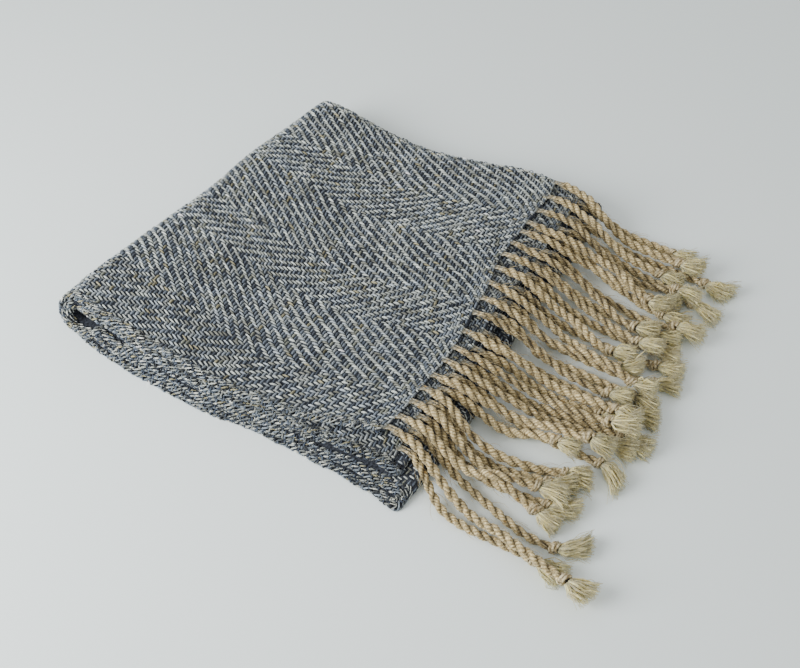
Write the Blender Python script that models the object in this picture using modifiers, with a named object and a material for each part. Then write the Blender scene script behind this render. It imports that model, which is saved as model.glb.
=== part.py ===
"""Handwoven tweed scarf, folded in half three times and lying flat on a table.

Lengths in the tables are millimetres. +X runs along the warp, from the left fold
to the twisted fringe, +Y across it, from the near selvedge to the far one, and +Z
up. The origin is on the table, under the middle of the pile.
"""

import bmesh
import bpy
import numpy as np
from mathutils import Vector

MM = 0.001

# Cloth
CLOTH = 2.2
SECOND_CLOTH = 2.0
SEAM_GAP = 0.3
LAYERS_IN_CORE = 6
LAYERS_IN_LOWER_FOLD = 4
SELVEDGE_GROOVE = 0.9
EDGE_FALL = 0.24
FAR_CREST = 0.8
FAR_RISE_FROM = 0.45
FOLD_X = -115
END_X = 105
LOWER_FOLD_X = 118
FOLD_PULL = 14
BEND_TO_PACK = 3.0
BEND_TO_SECOND = 1.2
BEND_OVERLAP = 6
BEND_INSET = 1.5
NEAR_CURL = 0.16
FAR_CURL = 0.07

# A row for each section of the pile across the warp. The edge columns are the Y of
# the top layer's two selvedges, of the second layer's near one and of the bottom
# layer's two, and the height columns are the top of the pile at the near selvedge,
# in the middle and at the far selvedge.
SECTION_COLUMNS = (
    "x", "near", "far", "second_near", "floor_near", "floor_far",
    "near_height", "middle_height", "far_height",
)
SECTIONS = (
    (-130, -119, 135, -121, -122, 137, 25.5, 27.5, 28.5),
    (-105, -123, 134, -126, -132, 137, 25.0, 27.0, 28.5),
    (-80, -125, 134, -128.5, -137.5, 137, 24.0, 26.0, 28.5),
    (-50, -127, 133, -130.5, -139.5, 136, 22.0, 23.5, 25.0),
    (-25, -129, 131, -132.5, -141.5, 134, 20.0, 21.5, 21.5),
    (0, -130, 131, -133.5, -141, 134, 18.5, 20.5, 19.0),
    (25, -128, 133, -132.5, -139, 136, 17.5, 20.0, 18.5),
    (50, -124, 136, -129.5, -138, 139, 17.0, 20.0, 19.5),
    (75, -118.5, 142, -127.5, -140, 145, 18.0, 20.5, 20.5),
    (105, -111, 144, -125, -141, 147, 19.5, 21.0, 20.0),
    (145, -108, 145, -124, -149, 149, 19.5, 21.0, 20.0),
)

# A row for each place across the pile, from the near selvedge to the far one. The
# other columns are the X of the left fold, of the top layer's fringed end, of the
# second layer's fringed end and of the two folds that stand out under the fringe.
SIDE_COLUMNS = ("y", "left_fold", "top_end", "second_end", "upper_fold", "lower_fold")
SIDES = (
    (-145, -134, 103, 116, 125, 134),
    (-120, -134, 103, 119, 127, 139),
    (-97, -132, 108, 118, 128, 142),
    (-67, -127, 111, 119, 129, 144),
    (-21, -119, 113, 124, 128, 142),
    (10, -113, 110, 122, 125, 139),
    (59, -108, 105, 127, 128, 143),
    (88, -102, 107, 128, 130, 145),
    (115, -97, 109, 129, 131, 146),
    (150, -91, 105, 125, 128, 143),
)

# Openings that the loose bends leave at the near end of the left fold
HOLE_COLUMNS = ("from_bend", "height_share", "half_length", "half_depth", "half_height")
HOLES = (
    (3.5, 0.48, 6.0, 15.0, 4.6),
    (26.0, 0.42, 7.0, 10.0, 2.4),
)

# Fringe
STRAND = 2.8
ROOT = 1.9
KNOT = 3.5
TUFT = 4.4
ROOT_LENGTH = 9.0
KNOT_LENGTH = 8.0
STRAND_GAP = 0.8
STRIP_GAP = 0.7
STRIP_WIDTH = 2.4
STRIP_HEIGHT = 1.5
ROOT_WIDTH = 4.4
FLOOR_GAP = 0.4
STEEPEST = 0.42
STEP = 2.0
STRAND_SHARES = (0.0, 0.07, 0.15, 0.25, 0.37, 0.52, 0.68, 0.84, 1.0)

# A row for each strand, in the order that they lie on each other: the Y of its root
# on the cloth's end and of its middle, then the plan position of its knot and of the
# tip of its tuft.
STRAND_COLUMNS = ("root_y", "middle_y", "knot_x", "knot_y", "tip_x", "tip_y")
TOP_STRANDS = (
    (141, 123, 215, 117, 236, 116),
    (124, 111, 206, 104, 227, 103),
    (107, 100, 221, 92, 243, 95),
    (82, 80, 213, 80, 234, 83),
    (93, 90, 208, 72, 229, 70),
    (69, 63, 208, 48, 230, 49),
    (56, 50, 214, 36, 236, 38),
    (42, 36, 202, 22, 223, 28),
    (27, 22, 211, 10, 232, 14),
    (12, 8, 223, 2, 245, 5),
    (-2, -5, 212, -9, 233, -7),
    (-19, -22, 221, -23, 243, -25),
    (-34, -36, 222, -33, 244, -31),
    (-46, -48, 228, -43, 250, -45),
    (-60, -60, 216, -53, 237, -51),
    (-72, -88, 211, -75, 229, -68),
    (-84, -98, 207, -109, 228, -112),
    (-97, -107, 201, -94, 221, -88),
    (-107, -124, 239, -144, 259, -148),
)
SECOND_STRANDS = (
    (132, 131, 206, 129, 226, 124),
    (115, 117, 236, 112, 256, 105),
    (100, 104, 235, 90, 257, 86),
    (88, 86, 220, 71, 242, 69),
    (75, 71, 231, 63, 252, 64),
    (62, 57, 222, 52, 243, 52),
    (49, 44, 226, 40, 248, 43),
    (34, 30, 231, 28, 252, 32),
    (19, 15, 234, 14, 254, 22),
    (5, 2, 226, -3, 248, 0),
    (-11, -13, 231, -15, 252, -9),
    (-27, -28, 213, -25, 235, -25),
    (-40, -41, 232, -35, 254, -36),
    (-53, -54, 227, -59, 248, -62),
    (-66, -66, 199, -61, 219, -60),
    (-78, -92, 205, -86, 227, -81),
    (-90, -102, 211, -101, 233, -100),
    (-101, -112, 226, -123, 247, -117),
    (-114, -134, 220, -137, 240, -141),
)
MIDDLE_X = 160

# Cuts of the meshes
FLAT_CUTS = 13
BEND_CUTS = 9
CROSS_CUTS = 14
ROWS_A_LAYER = 2


def columns(names, rows):
    """The table as a dictionary of arrays, one for each named column."""
    return {name: np.array([row[i] for row in rows], float) for i, name in enumerate(names)}


SECTION = columns(SECTION_COLUMNS, SECTIONS)
SIDE = columns(SIDE_COLUMNS, SIDES)


def smooth_between(keys, values, at):
    """The value at a place between a table's rows, on a curve through all of them."""
    at = np.clip(np.asarray(at, float), keys[0], keys[-1])
    slopes = np.gradient(values, keys)
    i = np.clip(np.searchsorted(keys, at, side="right") - 1, 0, len(keys) - 2)
    span = keys[i + 1] - keys[i]
    t = (at - keys[i]) / span
    rise = values[i] * (1 + 2 * t) * (1 - t) ** 2 + values[i + 1] * t * t * (3 - 2 * t)
    return rise + span * (slopes[i] * t * (1 - t) ** 2 - slopes[i + 1] * t * t * (1 - t))


def lerp(start, end, share):
    return start + share * (end - start)


def section(name, x):
    return smooth_between(SECTION["x"], SECTION[name], x)


def side(name, y):
    return smooth_between(SIDE["y"], SIDE[name], y)


def place_across(x, share, near="near", far="far"):
    """The Y at a share of the way from the near selvedge to the far one."""
    return lerp(section(near, x), section(far, x), share)


def top_of_pile(x, y):
    """The height of the top face, which sags in the middle and curls at the selvedges."""
    near_y = section("near", x)
    share = np.clip((y - near_y) / (section("far", x) - near_y), 0, 1)
    rise = 1 - np.clip(1 - share / NEAR_CURL, 0, 1) ** 2
    fall = 1 - np.clip(1 - (1 - share) / FAR_CURL, 0, 1) ** 2
    middle = section("middle_height", x)
    far = section("far_height", x)
    far_share = np.clip((share - FAR_RISE_FROM) / (1 - FAR_RISE_FROM), 0, 1)
    crest = middle + (far + FAR_CREST - middle) * far_share**1.5
    near = section("near_height", x)
    return near + (crest - near) * rise + (far - crest) * (1 - fall)


def bend_start(y):
    """The X where the top layer leaves the flat and the radius of its bend."""
    fold = side("left_fold", y)
    radius = top_of_pile(fold + FOLD_PULL, y) / 2
    return fold + radius, radius


def new_object(name, points, faces, collection, material=None):
    mesh = bpy.data.meshes.new(name)
    mesh.from_pydata([Vector(p) * MM for p in points], [], faces)
    tidy = bmesh.new()
    tidy.from_mesh(mesh)
    bmesh.ops.recalc_face_normals(tidy, faces=tidy.faces)
    tidy.to_mesh(mesh)
    tidy.free()
    if material:
        mesh.materials.append(material)
    made = bpy.data.objects.new(name, mesh)
    collection.objects.link(made)
    return made


def grid_faces(rows, across):
    return [
        (i * across + j, i * across + j + 1, (i + 1) * across + j + 1, (i + 1) * across + j)
        for i in range(rows - 1)
        for j in range(across - 1)
    ]


def sheet(name, lines, thickness, collection, material):
    """A wall of cloth under a face given as lines of points."""
    points = [p for line in lines for p in line]
    made = new_object(name, points, grid_faces(len(lines), len(lines[0])), collection, material)
    upward = sum(f.normal.z * f.area for f in made.data.polygons)
    if upward < 0:
        made.data.flip_normals()
    wall = made.modifiers.new("cloth", "SOLIDIFY")
    wall.thickness = thickness * MM
    wall.offset = -1
    wall.use_even_offset = True
    return made


def loft(name, rings, collection, material=None):
    """A closed solid through rings of equal numbers of points, with a face on each end."""
    count = len(rings[0])
    points = [p for ring in rings for p in ring]
    faces = [
        (i * count + j, i * count + (j + 1) % count,
         (i + 1) * count + (j + 1) % count, (i + 1) * count + j)
        for i in range(len(rings) - 1)
        for j in range(count)
    ]
    faces.append(tuple(range(count)))
    faces.append(tuple(range((len(rings) - 1) * count, len(rings) * count)))
    return new_object(name, points, faces, collection, material)


def top_line(share):
    """The top layer's upper face at one place across, from its end round the left fold."""
    y_end = place_across(END_X, share)
    x_end = side("top_end", y_end)
    y_fold = place_across(FOLD_X, share)
    x_bend, radius = bend_start(y_fold)
    line = []
    for x in np.linspace(x_end, x_bend, FLAT_CUTS):
        y = place_across(x, share)
        line.append((x, y, top_of_pile(x, y)))
    y = place_across(x_bend, share)
    radius = line[-1][2] / 2
    y_floor = place_across(x_bend, share, "floor_near", "floor_far")
    for turn in np.linspace(0, np.pi, BEND_CUTS)[1:]:
        y_turn = lerp(y, y_floor, turn / np.pi)
        line.append((x_bend - radius * np.sin(turn), y_turn, radius + radius * np.cos(turn)))
    return line


def second_line(share):
    """The second layer's upper face, from its end to where it meets the left fold."""
    y_end = place_across(END_X, share, "second_near")
    x_end = side("second_end", y_end)
    x_start = bend_start(place_across(FOLD_X, share, "second_near"))[0] + BEND_TO_SECOND
    line = []
    for x in np.linspace(x_end, x_start, FLAT_CUTS):
        y = place_across(x, share, "second_near")
        line.append((x, y, second_height(x, y)))
    return line


def second_height(x, y):
    return top_of_pile(x, y) - CLOTH - SEAM_GAP - edge_fall(x, y)


def edge_fall(x, y):
    """How far a layer that stands out past the top one's near selvedge drops below it."""
    out = np.clip(section("near", x) - y, 0, None)
    return EDGE_FALL * out


def core_height(x, y):
    return second_height(x, y) - SECOND_CLOTH - SEAM_GAP


def fold_bulge(height, low, high):
    """How far a fold between two heights draws back from its tip at a height."""
    radius = (high - low) / 2
    from_middle = np.clip((height - (low + high) / 2) / radius, -1, 1)
    return radius * (1 - np.sqrt(1 - from_middle**2))


def pack_edge(edge, x, level):
    """The Y of the hidden pack's edge, which slopes out from its top to the floor."""
    top = section("second_near", x) if edge == "near" else section("far", x)
    return lerp(section("floor_" + edge, x), top + 1, level)


def core_point(run, level, share):
    """A point of the hidden pack: run 0 to 1 goes from the left fold to the right folds."""
    left_y = lerp(pack_edge("near", FOLD_X, level), pack_edge("far", FOLD_X, level), share)
    left = bend_start(left_y)[0] + BEND_TO_PACK
    tip_y = place_across(END_X, share, "floor_near", "floor_far")
    fold_level = LAYERS_IN_LOWER_FOLD / LAYERS_IN_CORE
    height = core_height(LOWER_FOLD_X, tip_y)
    lower = level <= fold_level + 1e-6
    low, high = (0, fold_level) if lower else (fold_level, 1)
    tip = side("lower_fold" if lower else "upper_fold", tip_y)
    tip -= fold_bulge(level * height, low * height, high * height)
    x = lerp(left, tip, run)
    y = lerp(pack_edge("near", x, level), pack_edge("far", x, level), share)
    return x, y, level * core_height(x, y)


def hidden_pack(name, collection, material):
    """The six hidden layers as one solid: a box of rows bent to the pile's form."""
    rows = LAYERS_IN_CORE * ROWS_A_LAYER
    runs = np.concatenate((np.linspace(0, 0.9, FLAT_CUTS), [0.965, 1.0]))
    shares = np.linspace(0, 1, CROSS_CUTS)
    made = bmesh.new()
    corners = {}

    def vertex(i, j, k):
        if (i, j, k) not in corners:
            x, y, z = core_point(runs[i], k / rows, shares[j])
            if k % ROWS_A_LAYER == 0 and 0 < k < rows and j in (0, len(shares) - 1):
                y += SELVEDGE_GROOVE if j == 0 else -SELVEDGE_GROOVE
            corners[i, j, k] = made.verts.new(Vector((x, y, z)) * MM)
        return corners[i, j, k]

    last_run, last_share = len(runs) - 1, len(shares) - 1
    for i in range(last_run):
        for j in range(last_share):
            for k in (0, rows):
                made.faces.new([vertex(i + a, j + b, k) for a, b in ((0, 0), (1, 0), (1, 1), (0, 1))])
    for i in range(last_run):
        for k in range(rows):
            for j in (0, last_share):
                made.faces.new([vertex(i + a, j, k + b) for a, b in ((0, 0), (1, 0), (1, 1), (0, 1))])
    for j in range(last_share):
        for k in range(rows):
            for i in (0, last_run):
                made.faces.new([vertex(i, j + a, k + b) for a, b in ((0, 0), (1, 0), (1, 1), (0, 1))])
    bmesh.ops.recalc_face_normals(made, faces=made.faces)
    mesh = bpy.data.meshes.new(name)
    made.to_mesh(mesh)
    made.free()
    mesh.materials.append(material)
    result = bpy.data.objects.new(name, mesh)
    collection.objects.link(result)
    return result


def bend_block(name, collection):
    """The hidden bends inside the left fold, filled to the top layer's inner face."""
    rings = []
    for share in np.linspace(0, 1, CROSS_CUTS):
        y_fold = place_across(FOLD_X, share)
        x_bend, _ = bend_start(y_fold)
        y = place_across(x_bend, share)
        outer = top_of_pile(x_bend, y) / 2
        radius = outer - CLOTH - SEAM_GAP
        inset = BEND_INSET * (1 - 2 * share)
        y_floor = place_across(x_bend, share, "floor_near", "floor_far")
        ring = [
            (x_bend - radius * np.sin(turn), lerp(y, y_floor, turn / np.pi) + inset,
             outer + radius * np.cos(turn))
            for turn in np.linspace(0, np.pi, BEND_CUTS)
        ]
        x_inside = x_bend + BEND_OVERLAP
        inside = core_height(x_inside, y)
        y_low = lerp(y, y_floor, 0.85) + inset
        y_high = lerp(y, y_floor, 0.35) + inset
        ring += [
            (x_inside, y_low, CLOTH + 1.5),
            (x_inside, y_high, inside - 1.5),
            (x_bend + SEAM_GAP, y_high, inside - 1.0),
        ]
        rings.append(ring)
    return loft(name, rings, collection)


def hole_cutter(name, row, collection):
    x_bend, _ = bend_start(place_across(FOLD_X, 0))
    y = place_across(x_bend, 0)
    height = top_of_pile(x_bend, y)
    mesh = bpy.data.meshes.new(name)
    ball = bmesh.new()
    bmesh.ops.create_uvsphere(ball, u_segments=8, v_segments=6, radius=1)
    for vertex in ball.verts:
        x, z, deep = vertex.co
        vertex.co = Vector((
            x_bend + row["from_bend"] + x * row["half_length"],
            y + deep * row["half_depth"],
            height * row["height_share"] + z * row["half_height"],
        )) * MM
    bmesh.ops.recalc_face_normals(ball, faces=ball.faces)
    ball.to_mesh(mesh)
    ball.free()
    cutter = bpy.data.objects.new(name, mesh)
    collection.objects.link(cutter)
    cutter.hide_render = True
    cutter.display_type = "WIRE"
    return cutter


def boolean(target, other, operation):
    step = target.modifiers.new(other.name, "BOOLEAN")
    step.object = other
    step.operation = operation
    step.solver = "EXACT"


def under_fringe(x, y):
    """The height of what the fringe lies on: the second layer, the two folds, the table."""
    core = core_height(LOWER_FOLD_X, y)
    height = np.zeros_like(x)
    fold_level = LAYERS_IN_LOWER_FOLD / LAYERS_IN_CORE
    inside = (y > section("floor_near", END_X) - 3) & (y < section("floor_far", END_X) + 3)
    height = np.where(inside & (x < side("lower_fold", y) - 1), fold_level * core, height)
    height = np.where(inside & (x < side("upper_fold", y) - 1), core, height)
    return np.where(inside & (x < side("second_end", y) + 1), core + SECOND_CLOTH + SEAM_GAP, height)


def curve(start, end, start_heading, end_heading, t):
    """A smooth plan curve that leaves and arrives along the two headings."""
    reach = np.linalg.norm(end - start)
    leave = start_heading / np.linalg.norm(start_heading) * reach
    arrive = end_heading / np.linalg.norm(end_heading) * reach
    ends = start * (1 + 2 * t) * (1 - t) ** 2 + end * t * t * (3 - 2 * t)
    return ends + leave * t * (1 - t) ** 2 - arrive * t * t * (1 - t)


def strand_path(row, end, height, below):
    """Points and radii of a strand that lies on the pile, the table and earlier strands."""
    x_root = side(end, row["root_y"]) + STRIP_GAP + STRIP_WIDTH
    root = np.array((x_root, row["root_y"]))
    knot = np.array((row["knot_x"], row["knot_y"]))
    tip = np.array((row["tip_x"], row["tip_y"]))
    middle = np.array((MIDDLE_X, row["middle_y"]))
    heading = (tip - knot) / np.linalg.norm(tip - knot)
    t = np.linspace(0, 1, 40)[:, None]
    plan = np.vstack((
        curve(root, middle, np.array((1.0, -0.05)), (knot - root), t),
        curve(middle, knot, (knot - root), heading, t)[1:],
        knot + (tip - knot) * np.linspace(0.1, 1, 10)[:, None],
    ))
    knot_index = 78
    walked = np.concatenate(([0], np.cumsum(np.linalg.norm(np.diff(plan, axis=0), axis=1))))
    to_knot = walked[knot_index]
    along = np.linspace(0, walked[-1], int(walked[-1] / STEP) + 1)
    x = np.interp(along, walked, plan[:, 0])
    y = np.interp(along, walked, plan[:, 1])
    knot_start = to_knot - KNOT_LENGTH
    radius = np.interp(
        along,
        (0, ROOT_LENGTH, knot_start, knot_start + 1.5, to_knot - 1, to_knot + 1, walked[-1]),
        (ROOT, STRAND, STRAND, KNOT, KNOT, STRAND, TUFT),
    )
    rest = radius + FLOOR_GAP
    for shift in np.arange(-STRAND, STRAND + 0.1, 0.7):
        lift = np.sqrt(np.clip((radius + SEAM_GAP) ** 2 - shift**2, 0, None))
        rest = np.maximum(rest, under_fringe(x + shift, y) + lift)
    for other in below:
        across = np.hypot(x[:, None] - other["x"], y[:, None] - other["y"])
        apart = radius[:, None] + other["radius"] + STRAND_GAP
        lift = np.sqrt(np.clip(apart**2 - across**2, 0, None))
        need = np.where(across < apart, other["z"] + lift, 0).max(axis=1)
        rest = np.maximum(rest, need)
    rest[along < 3] = height
    z = rest.copy()
    z[0] = height
    for i in range(1, len(z)):
        z[i] = max(z[i], z[i - 1] - STEEPEST * STEP)
    for i in range(len(z) - 2, 0, -1):
        z[i] = max(z[i], z[i + 1] - STEEPEST * STEP)
    for _ in range(12):
        z[1:-1] = np.maximum(rest[1:-1], (z[:-2] + 2 * z[1:-1] + z[2:]) / 4)
    return {"x": x, "y": y, "z": z, "radius": radius, "along": along, "to_knot": to_knot}


def strand_stations(path):
    """How far along the strand its rings stand: even to the knot, then knot and tuft."""
    to_knot = path["to_knot"]
    knot_start = to_knot - KNOT_LENGTH
    end = path["along"][-1]
    stations = [share * knot_start for share in STRAND_SHARES[1:]]
    return stations + [knot_start + 1.5, to_knot - 1, to_knot + 1, lerp(to_knot, end, 0.55), end]


def fringe(name, strands, end, height_at, below, collection, material):
    """A strip along the cloth's end with the strands growing out of its outer face."""
    rows = [dict(zip(STRAND_COLUMNS, strand)) for strand in strands]
    paths = []
    for row in rows:
        height = float(height_at(side(end, row["root_y"]), row["root_y"]))
        paths.append(strand_path(row, end, height, below + paths))
    made = bmesh.new()

    def strip_corners(y):
        x = side(end, y) + STRIP_GAP
        z = float(height_at(x, y))
        half = STRIP_HEIGHT / 2
        corners = ((0, -half), (0, half), (STRIP_WIDTH, half), (STRIP_WIDTH, -half))
        return [made.verts.new(Vector((x + out, y, z + up)) * MM) for out, up in corners]

    sections = []
    for row in sorted(rows, key=lambda r: r["root_y"]):
        sections.append(strip_corners(row["root_y"] - ROOT_WIDTH / 2))
        sections.append(strip_corners(row["root_y"] + ROOT_WIDTH / 2))
    for n in range(len(sections) - 1):
        a, b = sections[n], sections[n + 1]
        for side_a in range(4):
            next_a = (side_a + 1) % 4
            if side_a == 2 and n % 2 == 0:
                continue
            made.faces.new((a[side_a], a[next_a], b[next_a], b[side_a]))
    made.faces.new(sections[0])
    made.faces.new(sections[-1])
    for n, path in enumerate(sorted(paths, key=lambda p: p["y"][0])):
        a, b = sections[2 * n], sections[2 * n + 1]
        ring = [a[3], b[3], b[2], a[2]]
        for at in strand_stations(path):
            centre = np.array([np.interp(at, path["along"], path[axis]) for axis in "xyz"])
            ahead = np.array([np.interp(at + 1, path["along"], path[axis]) for axis in "xyz"])
            behind = np.array([np.interp(at - 1, path["along"], path[axis]) for axis in "xyz"])
            heading = Vector(ahead - behind).normalized()
            across = Vector((0, 0, 1)).cross(heading).normalized()
            upward = heading.cross(across)
            reach = float(np.interp(at, path["along"], path["radius"])) / np.sqrt(2)
            following = [
                made.verts.new((Vector(centre) + (across * s + upward * u) * reach) * MM)
                for s, u in ((-1, -1), (1, -1), (1, 1), (-1, 1))
            ]
            for n_a in range(4):
                n_b = (n_a + 1) % 4
                made.faces.new((ring[n_a], ring[n_b], following[n_b], following[n_a]))
            ring = following
        made.faces.new(ring)
    bmesh.ops.recalc_face_normals(made, faces=made.faces)
    mesh = bpy.data.meshes.new(name)
    made.to_mesh(mesh)
    made.free()
    mesh.materials.append(material)
    result = bpy.data.objects.new(name, mesh)
    collection.objects.link(result)
    return paths


def wool(name, colour, roughness):
    made = bpy.data.materials.new(name)
    made.use_nodes = True
    shader = made.node_tree.nodes["Principled BSDF"]
    shader.inputs["Base Color"].default_value = (*colour, 1)
    shader.inputs["Roughness"].default_value = roughness
    shader.inputs["Metallic"].default_value = 0
    return made


def main():
    for old in list(bpy.data.objects):
        bpy.data.objects.remove(old, do_unlink=True)
    scarf = bpy.data.collections.new("folded_tweed_scarf")
    cutters = bpy.data.collections.new("cutters")
    bpy.context.scene.collection.children.link(scarf)
    bpy.context.scene.collection.children.link(cutters)

    tweed = wool("blue_grey_tweed", (0.20, 0.25, 0.33), 0.95)
    under_tweed = wool("shaded_tweed", (0.13, 0.17, 0.25), 0.95)
    hidden_tweed = wool("inner_tweed", (0.16, 0.20, 0.28), 0.95)
    cream = wool("cream_fringe_wool", (0.60, 0.50, 0.34), 0.9)
    tan = wool("tan_fringe_wool", (0.52, 0.42, 0.27), 0.9)

    shares = np.linspace(0, 1, CROSS_CUTS)
    sheet("top_layer", [top_line(s) for s in shares], CLOTH, scarf, tweed)
    sheet("second_layer", [second_line(s) for s in shares], SECOND_CLOTH, scarf, under_tweed)

    pack = hidden_pack("inner_layers", scarf, hidden_tweed)
    bends = bend_block("left_bends", cutters)
    bends.hide_render = True
    bends.display_type = "WIRE"
    boolean(pack, bends, "UNION")
    for n, row in enumerate(HOLES):
        cutter = hole_cutter(f"bend_hole_{n + 1}", dict(zip(HOLE_COLUMNS, row)), cutters)
        boolean(pack, cutter, "DIFFERENCE")

    second = fringe(
        "second_fringe", SECOND_STRANDS, "second_end",
        lambda x, y: second_height(x, y) - SECOND_CLOTH / 2, [], scarf, tan,
    )
    fringe(
        "top_fringe", TOP_STRANDS, "top_end",
        lambda x, y: top_of_pile(x, y) - CLOTH / 2, second, scarf, cream,
    )


main()
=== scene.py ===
import bpy
import numpy as np
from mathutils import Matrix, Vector


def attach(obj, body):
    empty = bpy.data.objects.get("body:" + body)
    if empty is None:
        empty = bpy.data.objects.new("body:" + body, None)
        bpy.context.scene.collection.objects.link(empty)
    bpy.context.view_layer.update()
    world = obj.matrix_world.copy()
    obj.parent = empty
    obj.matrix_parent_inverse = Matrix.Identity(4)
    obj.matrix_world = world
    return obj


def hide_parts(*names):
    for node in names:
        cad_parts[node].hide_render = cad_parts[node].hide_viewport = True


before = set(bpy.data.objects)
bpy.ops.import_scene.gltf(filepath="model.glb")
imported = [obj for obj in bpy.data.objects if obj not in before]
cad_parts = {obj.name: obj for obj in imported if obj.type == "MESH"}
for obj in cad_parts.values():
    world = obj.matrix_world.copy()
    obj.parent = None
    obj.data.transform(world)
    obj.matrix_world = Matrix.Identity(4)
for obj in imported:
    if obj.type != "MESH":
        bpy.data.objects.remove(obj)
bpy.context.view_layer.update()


# Table, light and camera
# A plain pale table beside a wide window, which stands at the front left of the
# scarf. The camera looks down on it from the near right corner.

TABLE_SIZE = 6.0
TABLE_COLOUR = (0.893, 0.982, 0.978)
CAMERA_PLACE = (0.2772, -0.4005, 0.51)
CAMERA_LOOK = (-0.3116, 0.5622, -0.7660)
CAMERA_LENS = 45
WINDOW_PLACE = (-0.48, -0.70, 0.50)
WINDOW_SIZE = 0.7
WINDOW_WATTS = 15
ROOM_LIGHT = 0.78
ROOM_COLOUR = (0.99, 0.985, 0.975)


def feed(node, values):
    """Set a node's inputs by name, or link them where a value is another node's output."""
    for key, value in values.items():
        if isinstance(value, bpy.types.NodeSocket):
            node.id_data.links.new(value, node.inputs[key])
        else:
            node.inputs[key].default_value = value


def new_material(name, values):
    made = bpy.data.materials.new(name)
    made.use_nodes = True
    feed(made.node_tree.nodes["Principled BSDF"], values)
    return made


def aim(thing, place, look):
    thing.location = place
    thing.rotation_euler = Vector(look).to_track_quat("-Z", "Y").to_euler()
    bpy.context.scene.collection.objects.link(thing)


half = TABLE_SIZE / 2
table_mesh = bpy.data.meshes.new("table_top")
table_mesh.from_pydata(
    [(-half, -half, 0), (half, -half, 0), (half, half, 0), (-half, half, 0)], [], [(0, 1, 2, 3)]
)
table_mesh.materials.append(new_material(
    "pale_table", {"Base Color": (*TABLE_COLOUR, 1), "Roughness": 0.55}
))
table = bpy.data.objects.new("table_top", table_mesh)
bpy.context.scene.collection.objects.link(table)

window = bpy.data.lights.new("window", "AREA")
window.shape = "DISK"
window.size = WINDOW_SIZE
window.energy = WINDOW_WATTS
aim(bpy.data.objects.new("window", window), WINDOW_PLACE, -Vector(WINDOW_PLACE))

room = bpy.data.worlds.new("room")
room.use_nodes = True
feed(room.node_tree.nodes["Background"], {"Color": (*ROOM_COLOUR, 1), "Strength": ROOM_LIGHT})
bpy.context.scene.world = room

lens = bpy.data.cameras.new("camera")
lens.lens = CAMERA_LENS
camera = bpy.data.objects.new("camera", lens)
aim(camera, CAMERA_PLACE, CAMERA_LOOK)
bpy.context.scene.camera = camera


# Top layer
# The upper face of the pile, from its fringed end round the left fold to the table: a
# 2/2 herringbone tweed, woven by hand with a cream warp and a flecked blue weft. Each
# yarn that shows is laid over a thin ground cloth as one float over two threads.

# Lengths are millimetres from here on, as in a weaver's notes
MM = 0.001
CLOTH = 2.2
NEAR_CURL = 0.16
FAR_CURL = 0.07
FAR_CREST = 0.8
FAR_RISE_FROM = 0.45
FOLD_X = -115
END_X = 105
FOLD_PULL = 14
SECTION_COLUMNS = (
    "x", "near", "far", "second_near", "floor_near", "floor_far",
    "near_height", "middle_height", "far_height",
)
SECTIONS = (
    (-130, -119, 135, -121, -126.5, 137, 25.5, 27.5, 28.5),
    (-105, -123, 134, -126, -133.5, 137, 25.0, 27.0, 28.5),
    (-80, -125, 134, -128.5, -137.5, 137, 24.0, 26.0, 28.5),
    (-50, -127, 133, -130.5, -139.5, 136, 22.0, 23.5, 25.0),
    (-25, -129, 131, -132.5, -141.5, 134, 20.0, 21.5, 21.5),
    (0, -130, 131, -133.5, -141, 134, 18.5, 20.5, 19.0),
    (25, -128, 133, -132.5, -139, 136, 17.5, 20.0, 18.5),
    (50, -124, 136, -129.5, -138, 139, 17.0, 20.0, 19.5),
    (75, -118.5, 142, -127.5, -140, 145, 18.0, 20.5, 20.5),
    (105, -111, 144, -125, -141, 147, 19.5, 21.0, 20.0),
    (145, -108, 145, -124, -149, 149, 19.5, 21.0, 20.0),
)
SIDE_COLUMNS = ("y", "left_fold", "top_end", "second_end", "upper_fold", "lower_fold")
SIDES = (
    (-145, -134, 103, 116, 125, 134),
    (-120, -134, 103, 119, 127, 139),
    (-97, -132, 108, 118, 128, 142),
    (-67, -127, 111, 119, 129, 144),
    (-21, -119, 113, 124, 128, 142),
    (10, -113, 110, 122, 125, 139),
    (59, -108, 105, 127, 128, 143),
    (88, -102, 107, 128, 130, 145),
    (115, -97, 109, 129, 131, 146),
    (150, -91, 105, 125, 128, 143),
)

# Soft ridges and troughs: where, which way they run, how long and wide, how high
CREASES = (
    (-62, -40, 70, 70, 20, 0.7),
    (-20, 60, 35, 90, 26, -0.6),
    (38, -70, 15, 80, 18, 0.6),
    (60, 40, 100, 70, 24, 0.5),
    (-88, 70, 95, 60, 16, 0.6),
    (10, -105, 5, 60, 12, -0.5),
)

# The five lines where the herringbone turns, as shares of the way across, for three
# distances back from the fringed end, and the warp ends in the bands between them.
# The first few ends run off round the near selvedge on their way to the fringe.
BAND_COLUMNS = ("back", "start", "turn_1", "turn_2", "turn_3", "turn_4", "turn_5")
BAND_TURNS = (
    (0, -0.070, 0.126, 0.310, 0.456, 0.664, 0.825),
    (105, -0.055, 0.127, 0.338, 0.460, 0.677, 0.808),
    (215, 0.004, 0.186, 0.386, 0.496, 0.697, 0.814),
)
ENDS_IN_BANDS = (27, 32, 20, 32, 20, 29)
ENDS = sum(ENDS_IN_BANDS)
PICK_PITCH = 2.3
LOOSE_PITCH = 2.6
LOOSE_FROM = (45, 110)
FINE_PITCH = 1.75
FINE_PICKS = 6
TOP_LENGTH = 280
GROUND_DEPTH = 0.95
GROUND_CLOTH = 1.2
GROUND_SHARES = (0.004, 0.996)
GROUND_CUTS = (56, 64)
WARP_HALF_WIDTH = 0.32
WARP_CROWN = 0.40
WARP_LAP = 0.12
WARP_LEAN = 0.15
WEFT_HALF_WIDTH = 0.74
WEFT_CROWN = 0.34
WEFT_LAP = 0.36
LOWEST = 0.06
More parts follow.
